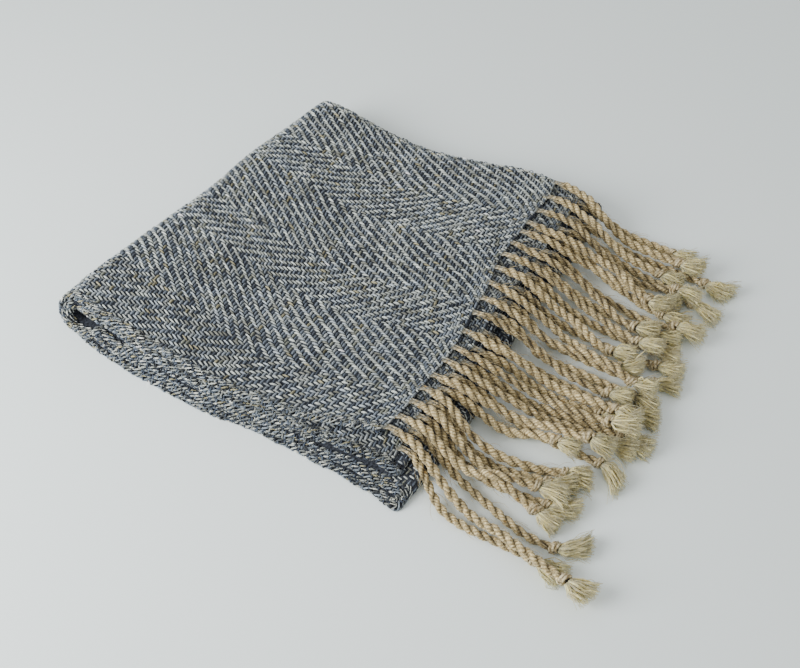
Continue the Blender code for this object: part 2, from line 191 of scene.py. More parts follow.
FIRST_SHARE = 0.003
TOP_GAP = 2.2
GROUND_GAP = 0.5

# What no two yarns share: the spreads of their thickness, height, place and slant
THICK_SPREAD = 0.13
THICK_RANGE = (0.7, 1.45)
CROWN_SPREAD = 0.13
BACK_SPREAD = 0.20
END_SPREAD = 0.08
SKEW_SPREAD = 0.10
PICK_SPREAD = 0.05

# Soft waves in the picks' and the ends' lines: how far, how fast over the ends and
# over the way back, and where they start
PICK_WAVES = (
    (0.75, 0.11, 0.045, 0),
    (0.55, 0.19, -0.09, 1),
)
END_WAVES = (
    (0.22, 0.9, 0.13, 0),
    (0.3, 0.23, 0.05, 0),
)

WOOL_COLUMNS = ("part", "red", "green", "blue")
WARP_WOOLS = (
    (0.13, 134, 136, 126),
    (0.22, 163, 168, 162),
    (0.28, 186, 193, 187),
    (0.20, 210, 217, 210),
    (0.15, 174, 184, 190),
    (0.02, 172, 166, 134),
)
WEFT_WOOLS = (
    (0.13, 79, 87, 99),
    (0.21, 103, 113, 125),
    (0.25, 121, 131, 143),
    (0.20, 144, 154, 162),
    (0.14, 172, 179, 181),
    (0.05, 130, 134, 122),
    (0.02, 142, 138, 112),
)
WARP_DYE_LENGTH = 30
WEFT_DYE_LENGTH = 12
DYE_DRIFT = 0.75
TONE_SPREAD = 0.22
TONE_RANGE = (0.5, 1.6)


def columns(names, rows):
    """The table as a dictionary of arrays, one for each named column."""
    return dict(zip(names, np.array(rows, float).T.copy()))


SECTION = columns(SECTION_COLUMNS, SECTIONS)
SIDE = columns(SIDE_COLUMNS, SIDES)
BANDS = columns(BAND_COLUMNS, BAND_TURNS)
BAND_STARTS = np.concatenate(([0], np.cumsum(ENDS_IN_BANDS)))


def hermite(start, end, leave, arrive, t):
    """A curve between two values or places, by how fast it leaves and arrives."""
    ends = start * (1 + 2 * t) * (1 - t) ** 2 + end * t * t * (3 - 2 * t)
    return ends + leave * t * (1 - t) ** 2 - arrive * t * t * (1 - t)


def smooth_between(keys, values, at):
    """The value at a place between a table's rows, on a curve through all of them."""
    at = np.clip(np.asarray(at, float), keys[0], keys[-1])
    slopes = np.gradient(values, keys)
    i = np.clip(np.searchsorted(keys, at, side="right") - 1, 0, len(keys) - 2)
    span = keys[i + 1] - keys[i]
    t = (at - keys[i]) / span
    return hermite(values[i], values[i + 1], span * slopes[i], span * slopes[i + 1], t)


def lerp(start, end, share):
    return start + share * (end - start)


def section(name, x):
    return smooth_between(SECTION["x"], SECTION[name], x)


def side(name, y):
    return smooth_between(SIDE["y"], SIDE[name], y)


def place_across(x, share, near="near", far="far"):
    """The Y at a share of the way from the near selvedge to the far one."""
    return lerp(section(near, x), section(far, x), share)


def crease_rise(x, y):
    rise = np.zeros(np.broadcast(x, y).shape)
    for x_at, y_at, heading, length, width, height in CREASES:
        c, s = np.cos(np.radians(heading)), np.sin(np.radians(heading))
        along = (x - x_at) * c + (y - y_at) * s
        off = (y - y_at) * c - (x - x_at) * s
        rise = rise + height * np.exp(-((2 * along / length) ** 2) - (off / width) ** 2)
    return rise


def top_of_pile(x, y):
    """The height of the top face, which sags in the middle and curls at the selvedges."""
    near_y = section("near", x)
    share = np.clip((y - near_y) / (section("far", x) - near_y), 0, 1)
    rise = 1 - np.clip(1 - share / NEAR_CURL, 0, 1) ** 2
    fall = 1 - np.clip(1 - (1 - share) / FAR_CURL, 0, 1) ** 2
    middle = section("middle_height", x)
    far = section("far_height", x)
    far_share = np.clip((share - FAR_RISE_FROM) / (1 - FAR_RISE_FROM), 0, 1)
    crest = middle + (far + FAR_CREST - middle) * far_share**1.5
    near = section("near_height", x)
    return near + (crest - near) * rise + (far - crest) * (1 - fall) + crease_rise(x, y)


def bend_x(share, near="near"):
    """The X where a layer leaves the flat for its bend at the left."""
    y = place_across(FOLD_X, share, near)
    fold = side("left_fold", y)
    return fold + top_of_pile(fold + FOLD_PULL, y) / 2


def end_x(share, layer="top", near="near"):
    """The X of a layer's fringed end, so far across."""
    return side(layer + "_end", place_across(END_X, share, near))


def top_face(back, share):
    """A point of the top layer's upper face, so far back from its end and across."""
    back, share = np.broadcast_arrays(back, share)
    x_end = end_x(share)
    x_bend = bend_x(share)
    y_bend = place_across(x_bend, share)
    radius = top_of_pile(x_bend, y_bend) / 2
    turn = np.clip((back - (x_end - x_bend)) / radius, 0, np.pi)
    x = np.maximum(x_end - back, x_bend)
    y = place_across(x, share)
    z = top_of_pile(x, y)
    y_floor = place_across(x_bend, share, "floor_near", "floor_far")
    bent = turn > 0
    return np.stack((
        np.where(bent, x_bend - radius * np.sin(turn), x),
        np.where(bent, lerp(y_bend, y_floor, turn / np.pi), y),
        np.where(bent, radius + radius * np.cos(turn), z),
    ), axis=-1)


def top_reach(share):
    """How far back the top layer goes, round its bend to the table."""
    x = bend_x(share)
    return end_x(share) - x + np.pi * top_of_pile(x, place_across(x, share)) / 2


def unit(vectors):
    return vectors / np.maximum(np.linalg.norm(vectors, axis=-1, keepdims=True), 1e-9)


NEARBY_BACK = 0.4
NEARBY_SHARE = 0.0015


def moved_out(face, back, share, out):
    """Points of a face, moved out along its normal."""
    along = face(back + NEARBY_BACK, share) - face(back - NEARBY_BACK, share)
    across = face(back, share + NEARBY_SHARE) - face(back, share - NEARBY_SHARE)
    return face(back, share) + unit(np.cross(across, along)) * np.asarray(out)[..., None]


def end_share(end, back):
    """Where across the cloth a warp end lies, as a share, so far back from the fringe."""
    end, back = np.broadcast_arrays(np.asarray(end, float), np.asarray(back, float))
    turns = [np.interp(back, BANDS["back"], BANDS[name]) for name in BAND_COLUMNS[1:]]
    edges = np.stack([*turns, np.ones(back.shape)])
    i = np.clip(np.searchsorted(BAND_STARTS, end, side="right") - 1, 0, len(ENDS_IN_BANDS) - 1)
    low = np.take_along_axis(edges, i[None], 0)[0]
    high = np.take_along_axis(edges, i[None] + 1, 0)[0]
    return low + (high - low) * (end - BAND_STARTS[i]) / (BAND_STARTS[i + 1] - BAND_STARTS[i])


rng = np.random.default_rng(11)


def pick_lines(length, fine=FINE_PICKS):
    """The distances back of the lines between picks, finer next to the fringe."""
    pick = np.arange(int(length / PICK_PITCH) + fine)
    pitch = np.interp(pick * PICK_PITCH, LOOSE_FROM, (PICK_PITCH, LOOSE_PITCH))
    pitch = np.where(pick < fine, FINE_PITCH, pitch)
    lines = np.concatenate(([0], np.cumsum(pitch * rng.normal(1, PICK_SPREAD, len(pick)))))
    return lines[lines < length + 2 * LOOSE_PITCH]


def waved(waves, back, end):
    """How far a line of the cloth strays from straight at a place, in soft waves."""
    return sum(
        reach * np.sin(end * by_end + back * by_back + start)
        for reach, by_end, by_back, start in waves
    )


def warp_raised(ends, picks):
    """Where the warp lies over the weft: two over and two under, turning at each band."""
    bands = np.clip(np.searchsorted(BAND_STARTS, np.arange(ends), side="right") - 1, 0, 5)
    step = np.cumsum(np.where(bands % 2 == 0, 1, -1))
    return (step[:, None] + np.arange(picks)[None, :]) % 4 < 2


def runs(mask):
    """The row, start and stop of each run of true values along the rows of a mask."""
    change = np.diff(np.pad(mask, ((0, 0), (1, 1))).astype(int), axis=1)
    row, start = np.nonzero(change == 1)
    stop = np.nonzero(change == -1)[1]
    return row, start, stop


def linear(colour):
    """An sRGB colour of 0 to 255 as scene-linear values."""
    c = np.asarray(colour, float) / 255
    return np.where(c <= 0.04045, c / 12.92, ((c + 0.055) / 1.055) ** 2.4)


def dyed(wools, row, place, repeat):
    """The colour of each float: the yarn's colour drifts along its row, with odd flecks."""
    table = columns(WOOL_COLUMNS, wools)
    steps = int(place.max() / repeat) + 2
    drift = rng.normal(0, 1, (int(row.max()) + 1, steps))
    at = np.clip(place / repeat, 0, steps - 1.001)
    i = at.astype(int)
    tone = lerp(drift[row, i], drift[row, i + 1], at - i) * DYE_DRIFT
    tone = tone + rng.normal(0, DYE_DRIFT, len(row))
    rank = np.argsort(np.argsort(tone)) / len(tone)
    kind = np.searchsorted(np.cumsum(table["part"]) / table["part"].sum(), rank)
    kind = np.clip(kind, 0, len(wools) - 1)
    colour = linear(np.stack([table[c][kind] for c in WOOL_COLUMNS[1:]], axis=-1))
    return colour * rng.normal(1, TONE_SPREAD, (len(row), 1)).clip(*TONE_RANGE)


# One float: four rings of four points each, and two tips
RING_ALONG = (-0.80, -0.34, 0.34, 0.80)
RING_WIDTH = (0.66, 1.0, 1.0, 0.66)
RING_HEIGHT = (0.46, 1.0, 1.0, 0.46)
ARCH_ACROSS = (-1.0, -0.52, 0.52, 1.0)
ARCH_HEIGHT = (0.0, 1.0, 1.0, 0.0)
TIP_HEIGHT = 0.1
FLOAT_ALONG = np.append(np.repeat(RING_ALONG, 4), (-1.0, 1.0))
FLOAT_AROUND = np.append(np.tile(ARCH_ACROSS, 4), (0.0, 0.0))
FLOAT_ACROSS = np.append(np.outer(RING_WIDTH, ARCH_ACROSS), (0.0, 0.0))
FLOAT_HEIGHT = np.append(np.outer(RING_HEIGHT, ARCH_HEIGHT), (TIP_HEIGHT, TIP_HEIGHT))


def float_points(centre, half_length, half_width, crown, skew):
    """How far along, across and out each point of many floats lies."""
    along = centre[:, None] + FLOAT_ALONG * half_length[:, None]
    off = FLOAT_ACROSS * half_width[:, None] + FLOAT_ALONG * skew[:, None]
    return along, off, FLOAT_HEIGHT * (crown + GROUND_DEPTH)[:, None] - GROUND_DEPTH


def ring_faces(n, rings, sides):
    """The quads and the end triangles of many closed tubes of rings and two tips."""
    r, a = np.meshgrid(np.arange(rings - 1), np.arange(sides), indexing="ij")
    here = (r * sides + a).ravel()
    beside = (r * sides + (a + 1) % sides).ravel()
    quads = np.stack((here, beside, beside + sides, here + sides), axis=-1)
    ring = np.arange(sides)
    after = (ring + 1) % sides
    tip = np.full(sides, rings * sides)
    last = (rings - 1) * sides
    tips = np.concatenate((
        np.stack((tip, after, ring), axis=-1),
        np.stack((tip + 1, last + ring, last + after), axis=-1),
    ))
    start = np.arange(n)[:, None, None] * (rings * sides + 2)
    return (quads + start).reshape(-1, 4), (tips + start).reshape(-1, 3)


def new_piece(name, points, quads, triangles, material, colour=None, uv=None):
    """A mesh from arrays of points in millimetres, with a colour and a place for each."""
    points = np.array(points)
    points[:, 2] = np.maximum(points[:, 2], LOWEST)
    corners = np.concatenate((np.ravel(quads), np.ravel(triangles))).astype(np.int32)
    sizes = np.repeat((4, 3), (len(quads), len(triangles)))
    mesh = bpy.data.meshes.new(name)
    mesh.vertices.add(len(points))
    mesh.vertices.foreach_set("co", (points * MM).astype(np.float32).ravel())
    mesh.loops.add(len(corners))
    mesh.loops.foreach_set("vertex_index", corners)
    mesh.polygons.add(len(sizes))
    mesh.polygons.foreach_set("loop_start", (np.cumsum(sizes) - sizes).astype(np.int32))
    mesh.update(calc_edges=True)
    mesh.validate()
    mesh.shade_smooth()
    if colour is not None:
        wool = mesh.color_attributes.new("wool_colour", "FLOAT_COLOR", "POINT")
        rgba = np.ones((len(points), 4), np.float32)
        rgba[:, :3] = np.clip(colour, 0, 1)
        wool.data.foreach_set("color", rgba.ravel())
    if uv is not None:
        places = mesh.uv_layers.new(name="yarn")
        places.data.foreach_set("uv", np.asarray(uv, np.float32)[corners].ravel())
    mesh.materials.append(material)
    made = bpy.data.objects.new(name, mesh)
    bpy.context.scene.collection.objects.link(made)
    return made


def add_node(tree, kind, values, **settings):
    """A new node with its settings, and its inputs set or linked."""
    node = tree.nodes.new(kind)
    for key, value in settings.items():
        setattr(node, key, value)
    feed(node, values)
    return node


def add_noise(tree, place, scale, detail):
    values = {"Vector": place, "Scale": scale, "Detail": detail}
    return add_node(tree, "ShaderNodeTexNoise", values).outputs["Fac"]


def add_ramp(tree, fac, places, colours):
    """A colour ramp between two stops; a single number is a grey."""
    ramp = add_node(tree, "ShaderNodeValToRGB", {"Fac": fac})
    for stop, place, colour in zip(ramp.color_ramp.elements, places, colours):
        stop.position = place
        stop.color = (*np.broadcast_to(colour, 3), 1)
    return ramp.outputs["Color"]


def add_mix(tree, blend, fac, first, second):
    values = {"Fac": fac, "Color1": first, "Color2": second}
    return add_node(tree, "ShaderNodeMixRGB", values, blend_type=blend).outputs["Color"]


def coat(material, colour, height, strength, relief):
    """Lead a colour and a bump, whose relief is in millimetres, to a material's shader."""
    values = {"Height": height, "Strength": strength, "Distance": relief * MM}
    bump = add_node(material.node_tree, "ShaderNodeBump", values).outputs["Normal"]
    feed(material.node_tree.nodes["Principled BSDF"], {"Base Color": colour, "Normal": bump})


# Between which values of their noise or wave the fibres and the flecks change the wool's colour,
# the twist gets painted shade in its furrows and a painted highlight on its ridges, and by how much
# at most
FIBRE_STOPS = (0.34, 0.66)
FLECK_EDGE = 0.06
FLECK_MOST = 0.8
FURROW_STOPS = (0.15, 0.75)
TWIST_RIDGE_HIGHLIGHT = 1.12


def yarn_material(
    name, sheen, fleck_colour, flecks, twist_scale, relief, furrow,
    mottle_scale=1900, mottle=(0.62, 1.22), roughness=0.9,
):
    """Wool yarn: the dyed colour with flecks and fibres, painted shade and highlight along the
    twist, and a twist raised in the bump.
    """
    made = new_material(name, {
        "Roughness": roughness, "Specular IOR Level": 0.25,
        "Sheen Weight": sheen, "Sheen Roughness": 0.45,
    })
    tree = made.node_tree
    dye = add_node(tree, "ShaderNodeVertexColor", {}, layer_name="wool_colour").outputs["Color"]
    place = add_node(tree, "ShaderNodeTexCoord", {}).outputs["Object"]
    fibres = add_noise(tree, place, scale=mottle_scale, detail=3)
    shades = add_ramp(tree, fibres, FIBRE_STOPS, mottle)
    shaded = add_mix(tree, "MULTIPLY", 1, dye, shades)

    specks = add_noise(tree, place, scale=420, detail=1)
    few = add_ramp(tree, specks, (1 - flecks, 1 - flecks + FLECK_EDGE), (0, FLECK_MOST))
    flecked = add_mix(tree, "MIX", few, shaded, (*linear(fleck_colour), 1))

    yarn_map = add_node(tree, "ShaderNodeUVMap", {}, uv_map="yarn").outputs["UV"]
    twist = add_node(
        tree, "ShaderNodeTexWave",
        {"Vector": yarn_map, "Scale": twist_scale, "Distortion": 2.2, "Detail": 1},
        bands_direction="DIAGONAL",
    ).outputs["Fac"]
    # Painted shade in the furrows of the twist and a painted highlight on its ridges
    furrows = add_ramp(tree, twist, FURROW_STOPS, (furrow, TWIST_RIDGE_HIGHLIGHT))
    furrowed = add_mix(tree, "MULTIPLY", 1, flecked, furrows)
    heights = add_node(tree, "ShaderNodeMath", {0: twist, 1: fibres}, operation="ADD")
    coat(made, furrowed, heights.outputs["Value"], strength=0.7, relief=relief)
    return made


tweed_yarn = yarn_material(
    "tweed_yarn", sheen=0.15, fleck_colour=(152, 150, 124), flecks=0.24,
    twist_scale=1.1, relief=0.16, furrow=0.8,
)
GROUND_STOPS = (0.35, 0.68)


def ground_material(name, dark, light):
    """The cloth between the yarns: dark blue for the deeper yarns and partly painted shade, with a
    soft mottle and a fine weave bump.
    """
    made = new_material(name, {"Roughness": 0.95, "Specular IOR Level": 0.1})
    tree = made.node_tree
    place = add_node(tree, "ShaderNodeTexCoord", {}).outputs["Object"]
    mottle = add_noise(tree, place, scale=700, detail=4)
    tones = add_ramp(tree, mottle, GROUND_STOPS, (linear(dark), linear(light)))
    coat(made, tones, mottle, strength=0.6, relief=0.3)
    return made


# Its darkness is partly the deeper yarns' colour and partly painted shade in the gaps between the
# floats
ground_cloth = ground_material("ground_cloth", (35, 38, 44), (71, 76, 86))


def woven(
    name, face, ends, lines, keep, wools=(WARP_WOOLS, WEFT_WOOLS), share_at=end_share,
    phase=0, shade=None, widths=(WARP_HALF_WIDTH, WEFT_HALF_WIDTH), lean=WARP_LEAN,
):
    """The warp and weft floats of a stretch of herringbone cloth, as two joined meshes."""
    picks = len(lines) - 1
    raised = np.roll(warp_raised(ends, picks + 4), phase, axis=1)[:, :picks]
    made = []
    for yarn, wool, width in zip(("warp", "weft"), wools, widths):
        warp = yarn == "warp"
        row, start, stop = runs(raised if warp else ~raised.T)
        if warp:
            middle = (lines[start] + lines[stop]) / 2
            end = row + 0.5
            half = (lines[stop] - lines[start]) / 2 + WARP_LAP * PICK_PITCH
        else:
            middle = (lines[row] + lines[row + 1]) / 2
            end = (start + stop) / 2
            half = (stop - start) / 2 + WEFT_LAP
        shown = keep(middle, share_at(end, middle))
        row, middle, end, half = row[shown], middle[shown], end[shown], half[shown]
        n = len(row)
        thick = rng.normal(1, THICK_SPREAD, n).clip(*THICK_RANGE)
        middle = middle + waved(PICK_WAVES, middle, end) + rng.normal(0, BACK_SPREAD, n)
        end = end + waved(END_WAVES, middle, end) + rng.normal(0, END_SPREAD, n)
        skew = rng.normal(0, SKEW_SPREAD, n) + (lean if warp else 0)
        crown = (WARP_CROWN if warp else WEFT_CROWN) * thick + rng.normal(0, CROWN_SPREAD, n)
        along, off, out = float_points(middle if warp else end, half, width * thick, crown, skew)
        quads, tips = ring_faces(n, 4, 4)
        if warp:
            back, at_end = along, end[:, None] + off
            colour = dyed(wool, row, middle, WARP_DYE_LENGTH)
        else:
            back, at_end = middle[:, None] + off, along
            colour = dyed(wool, row, end, WEFT_DYE_LENGTH)
            quads, tips = quads[:, ::-1], tips[:, ::-1]
        if shade:
            colour = colour * shade(middle, share_at(end, middle))[:, None]
        points = moved_out(face, back, share_at(at_end, back), out)
        u = FLOAT_ALONG * 2 + rng.uniform(0, 9, n)[:, None]
        uv = np.stack((u, np.broadcast_to(FLOAT_AROUND, u.shape)), axis=-1)
        made.append(new_piece(
            f"{name}_{yarn}", points.reshape(-1, 3), quads, tips, tweed_yarn,
            np.repeat(colour, len(FLOAT_ALONG), axis=0), uv.reshape(-1, 2),
        ))
    return made


def shell(name, face_points, thickness, material):
    """A thin wall of cloth behind a grid of points."""
    rows, across = face_points.shape[:2]
    i, j = np.meshgrid(np.arange(rows - 1), np.arange(across - 1), indexing="ij")
    at = (i * across + j).ravel()
    quads = np.stack((at, at + across, at + across + 1, at + 1), axis=-1)
    made = new_piece(name, face_points.reshape(-1, 3), quads, [], material)
    wall = made.modifiers.new("cloth", "SOLIDIFY")
    wall.thickness = thickness * MM
    wall.offset = -1
    return made


share_grid, back_grid = np.meshgrid(
    np.linspace(*GROUND_SHARES, GROUND_CUTS[0]), np.linspace(0, 1, GROUND_CUTS[1]), indexing="ij"
)


def ground(name, face, reach, thickness):
    """The thin cloth under the yarns of a layer, as far back as the layer goes."""
    points = moved_out(face, back_grid * reach, share_grid, -GROUND_DEPTH)
    return shell(name, points, thickness, ground_cloth)


top_warp, top_weft = woven(
    "top_layer", top_face, ENDS, pick_lines(TOP_LENGTH),
    lambda back, share: (back < top_reach(share) - TOP_GAP) & (share > FIRST_SHARE),
)
top_ground = ground("top_layer_ground", top_face, top_reach(share_grid) - GROUND_GAP, GROUND_CLOTH)
for piece in (top_ground, top_warp, top_weft):
    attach(piece, "root")
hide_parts("top_layer")


# Second layer
# The cloth right under the top one. It stands out a little past the near selvedge and
# under the fringe, so it is woven there, and its other end bears the second fringe.

SECOND_CLOTH = 2.0
SEAM_GAP = 0.3
EDGE_FALL = 0.24
BEND_TO_SECOND = 2.0
SECOND_LENGTH = 262
SECOND_GROUND = 1.0
SECOND_GAP = 2
SHOWN_SHARE = 0.075
SHOWN_BACK = 28
SHADED_BACK = (20, 36)
SHADED = 0.7
EDGE_SHADOW = (1.5, 6.0)


def second_height(x, y):
    """The height of the second layer, which drops where it stands out past the top one."""
    fall = EDGE_FALL * np.clip(section("near", x) - y, 0, None)
    return top_of_pile(x, y) - CLOTH - SEAM_GAP - fall


def second_reach(share):
    """How far back the second layer goes, to its bend."""
    start = bend_x(share, "second_near") + BEND_TO_SECOND
    return end_x(share, "second", "second_near") - start


def second_face(back, share):
    """A point of the second layer's upper face, so far back from its end and across."""
    x = end_x(share, "second", "second_near") - back
    y = place_across(x, share, "second_near")
    return np.stack(np.broadcast_arrays(x, y, second_height(x, y)), axis=-1)


def second_shade(back, share):
    """The wool looks darker in the shade of the fringe and of the top layer's edge."""
    x, y = np.moveaxis(second_face(back, share), -1, 0)[:2]
    by_edge = np.interp(section("near", x) - y, EDGE_SHADOW, (SHADED, 1))
    return np.minimum(np.interp(back, SHADED_BACK, (SHADED, 1)), by_edge)


second_warp, second_weft = woven(
    "second_layer", second_face, ENDS, pick_lines(SECOND_LENGTH),
    lambda back, share: (back < second_reach(share) - SECOND_GAP) & (share > FIRST_SHARE)
    & ((share < SHOWN_SHARE) | (back < SHOWN_BACK)),
    phase=2, shade=second_shade,
)
second_ground = ground("second_layer_ground", second_face, second_reach(share_grid), SECOND_GROUND)
for piece in (second_ground, second_warp, second_weft):
    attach(piece, "root")
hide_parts("second_layer")


# Inner layers
# The rest of the cloth, which runs on under the two upper layers in one length: round
# three more bends at the left, nested in the top layer's, and three folds at the
# right, two of which stand out under the fringe.

LAYERS_IN_CORE = 6
LAYERS_IN_LOWER_FOLD = 4
LOWER_FOLD_X = 118


def core_height(x, y):
    return second_height(x, y) - SECOND_CLOTH - SEAM_GAP


# Towards the fringe the pack's upper half stands back under the near edge of the top
RECESS = 2.5
RECESS_X = (50, 98)
RECESS_LEVEL = (0.5, 0.75)


def pack_edge(edge, x, level):
    """The Y of the hidden pack's edge, which slopes out from its top to the floor."""
    top = section("second_near", x) if edge == "near" else section("far", x)
    y = lerp(section("floor_" + edge, x), top + PACK_STEP, level)
    if edge == "far":
        return y
    return y + RECESS * np.interp(x, RECESS_X, (0, 1)) * np.interp(level, RECESS_LEVEL, (0, 1))


# Each layer of the pack has its height as a share of the pack's, at mid cloth.
# Near the left fold they part and leave two openings between them: the same shares of
# the height, by the distance from the bend
PARTED_COLUMNS = ("from_bend", 3, 4, 5, 6, 7, 8)
PARTED_LEVELS = (
    (-10, 0.95, 0.86, 0.28, 0.16, 0.11, 0.05),
    (8, 0.97, 0.80, 0.34, 0.20, 0.12, 0.05),
    (19, 0.97, 0.80, 0.50, 0.34, 0.19, 0.06),
    (28, 1.02, 0.47, 0.38, 0.28, 0.17, 0.06),
    (39, 1.01, 0.51, 0.42, 0.31, 0.19, 0.07),
    (54, 0.93, 0.73, 0.56, 0.41, 0.25, 0.08),
    (75, 0.917, 0.75, 0.583, 0.417, 0.25, 0.083),
)
PARTED = columns(PARTED_COLUMNS, PARTED_LEVELS)
INNER_CLOTH = 1.9
PACK_STEP = 1
ACROSS_CUTS = 30
RUN_CUTS = 16
TURN_CUTS = 12
LAST_GAP = 3
FOLD_REACH = 8

# Bends at the left and folds at the right, in the order that the cloth runs: the
# layers that each joins, and how far in from the outer bend or fold its tip lies
TURN_COLUMNS = ("from_layer", "to_layer", "end", "inset")
TURNS = (
    (2, 7, "left", 0.0),
    (7, 6, "lower", 3.6),
    (6, 3, "left", -5.0),
    (3, 4, "upper", 0.0),
    (4, 5, "left", 19.0),
    (5, 8, "lower", 0.0),
)


def layer_point(layer, x, share):
    """A point of an inner layer's middle, and of the second layer's for layer 2."""
    if layer == 2:
        y = place_across(x, share, "second_near")
        return x, y, second_height(x, y) - SECOND_CLOTH / 2
    from_bend = x - bend_x(share)
    level = smooth_between(PARTED["from_bend"], PARTED[layer], from_bend)
    y = lerp(pack_edge("near", x, level), pack_edge("far", x, level), share)
    return x, y, np.maximum(level * core_height(x, y), INNER_CLOTH / 2 + LOWEST)


def turn_centre(turn, share):
    """The X of a turn's centre line and how far its tip reaches past it."""
    left = turn["end"] == "left"
    if left:
        x = bend_x(share)
    else:
        y_tip = place_across(END_X, share, "floor_near", "floor_far")
        tip = side(turn["end"] + "_fold", y_tip)
        x = tip - FOLD_REACH
    high = layer_point(min(turn["from_layer"], turn["to_layer"]), x, share)[2]
    low = layer_point(max(turn["from_layer"], turn["to_layer"]), x, share)[2]
    reach = (high - low) / 2
    if left:
        return x + turn["inset"] + (reach if turn["inset"] else BEND_TO_SECOND), -reach
    return tip - turn["inset"] - INNER_CLOTH / 2 - reach, reach


def inner_line(share):
    """The middle of the inner cloth at one place across, from the second layer's bend."""
    line = []
    x_from = None
    for row in TURNS:
        turn = dict(zip(TURN_COLUMNS, row))
        x_turn, reach = turn_centre(turn, share)
        if x_from is not None:
            for x in np.linspace(x_from, x_turn, RUN_CUTS)[1:-1]:
                line.append(layer_point(turn["from_layer"], x, share))
        start = np.array(layer_point(turn["from_layer"], x_turn, share))
        end = np.array(layer_point(turn["to_layer"], x_turn, share))
        for t in np.linspace(0, 1, TURN_CUTS):
            x, y, z = lerp(start, end, (1 - np.cos(np.pi * t)) / 2)
            line.append((x + reach * np.sin(np.pi * t), y, z))
        x_from = x_turn
    for x in np.linspace(x_from, bend_x(share) + LAST_GAP, RUN_CUTS)[1:]:
        line.append(layer_point(TURNS[-1][1], x, share))
    return np.array(line)


inner_grid = np.array([inner_line(share) for share in np.linspace(0, 1, ACROSS_CUTS)])
# Painted shade: the inner cloth is darker than the upper layers' ground, so that its openings and
# the gaps between the layers read as shadow
shaded_cloth = ground_material("shaded_cloth", (28, 30, 34), (62, 66, 74))
inner_cloth = shell("inner_layers_cloth", inner_grid, INNER_CLOTH, shaded_cloth)
inner_cloth.modifiers["cloth"].offset = 0
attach(inner_cloth, "root")
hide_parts("inner_layers")


def fold_face(name, from_layer, to_layer):
    """The outer face of a fold at the right: back runs from its tip, minus below it."""
    turn = {"from_layer": from_layer, "to_layer": to_layer, "end": name, "inset": 0.0}

    def face(back, share):
        x_turn, reach = turn_centre(turn, share)
        radius = reach + INNER_CLOTH / 2
        angle = np.clip(np.pi / 2 - back / radius, 0, np.pi)
        x_flat = x_turn - np.clip(back - radius * np.pi / 2, 0, None)
        high = np.array(layer_point(from_layer, x_flat, share))
        low = np.array(layer_point(to_layer, x_flat, share))
        middle = (high + low) / 2
        point = middle + (high - low) / 2 * np.cos(angle)
        x = x_flat + radius * np.sin(angle)
        z = point[2] + INNER_CLOTH / 2 * np.cos(angle)
        return np.stack(np.broadcast_arrays(x, point[1], z), axis=-1)

    return face


# The picks of the two folds under the fringe: over what length and from where, and
# for each fold its layers and how far round it the yarns show
FOLD_LENGTH = 60
FOLD_START = -20
FOLDS = (
    ("upper", (3, 4), (-4, 11)),
    ("lower", (5, 8), (-13, 22)),
)
fold_lines = pick_lines(FOLD_LENGTH, 0) + FOLD_START
for name, layers, shown in FOLDS:
    fold_pieces = woven(
        f"{name}_fold", fold_face(name, *layers), ENDS, fold_lines,
        lambda back, share: (back > shown[0]) & (back < shown[1]) & (share > FIRST_SHARE),
    )
    for piece in fold_pieces:
        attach(piece, "root")


# Selvedges
# The woven edges of all eight layers, stacked at the near and the far side. The weft
# turns round the outer warp end there, so each edge is a small round with loops.

EDGE_RADIUS = 1.15
EDGE_WIDTHS = (0.30, 0.50)
EDGE_FLAT = 3.6
EDGE_STRAY = 0.55
EDGE_STRAY_PITCH = 14
EDGE_INSET = 0.9
# Painted shade on the near edges of the second and inner layers towards the fringe, as under the
# top layer's near edge: the upper edges darker than the lower ones
EDGE_SHADE = 0.5
LOW_EDGE_SHADE = 0.85
SHADE_FROM_Z = 9
SHADE_X = (35, 100)
LOOP_PITCH = 3.8
LOOP_REACH = 1.6
LOOP_HALF = 1.25
LOOP_YARN = 0.42
LOOP_TONE = 1.25
LOOP_RINGS = 6
LOOP_SIDES = 4
LOOP_TURN = 1.75
LOOP_SINK = 0.45
LOOP_DYE_LENGTH = 10
LOOP_PLACES = (8.0, 2.0)
EDGE_ENDS_GAP = 1.5
TOP_CUTS = 150
SECOND_CUTS = 120
LAST_STEP = 1

# What no two loops share: place and thickness, then slant, reach, width and lean
LOOP_AT_SPREAD = 0.14 * LOOP_PITCH
LOOP_YARN_SPREAD = 0.12
LOOP_MEANS = (0, 1, 1, 0)
LOOP_SPREADS = (0.35, 0.14, 0.12, 0.45)
EDGE_WARP_WOOLS = (
    (0.12, 92, 97, 99),
    (0.18, 142, 147, 142),
    (0.24, 184, 189, 180),
    (0.24, 220, 223, 212),
    (0.14, 156, 168, 177),
    (0.08, 180, 174, 138),
)
EDGE_WEFT_WOOLS = (
    (0.24, 38, 42, 50),
    (0.28, 64, 73, 88),
    (0.24, 90, 101, 116),
    (0.16, 122, 132, 142),
    (0.08, 168, 172, 166),
)


def lengths_along(path):
    """How far along a path each of its points lies."""
    return np.append(0, np.cumsum(np.linalg.norm(np.diff(path, axis=0), axis=1)))


def read(at, steps, values):
    """The rows of a table of points, read at distances along a line."""
    return np.stack([np.interp(at, steps, column) for column in values.T], axis=-1)


def line_frame(points):
    """The heading, the level way across and the upward way at each point of lines."""
    heading = unit(np.gradient(points, axis=-2))
    across = unit(np.cross(np.array((0.0, 0.0, 1.0)), heading))
    return heading, across, np.cross(heading, across)


def round_line(across, upward, reach, angle):
    """Offsets from a line: so far out from it, at an angle round it."""
    return across * (reach * np.cos(angle))[..., None] + upward * (reach * np.sin(angle))[..., None]


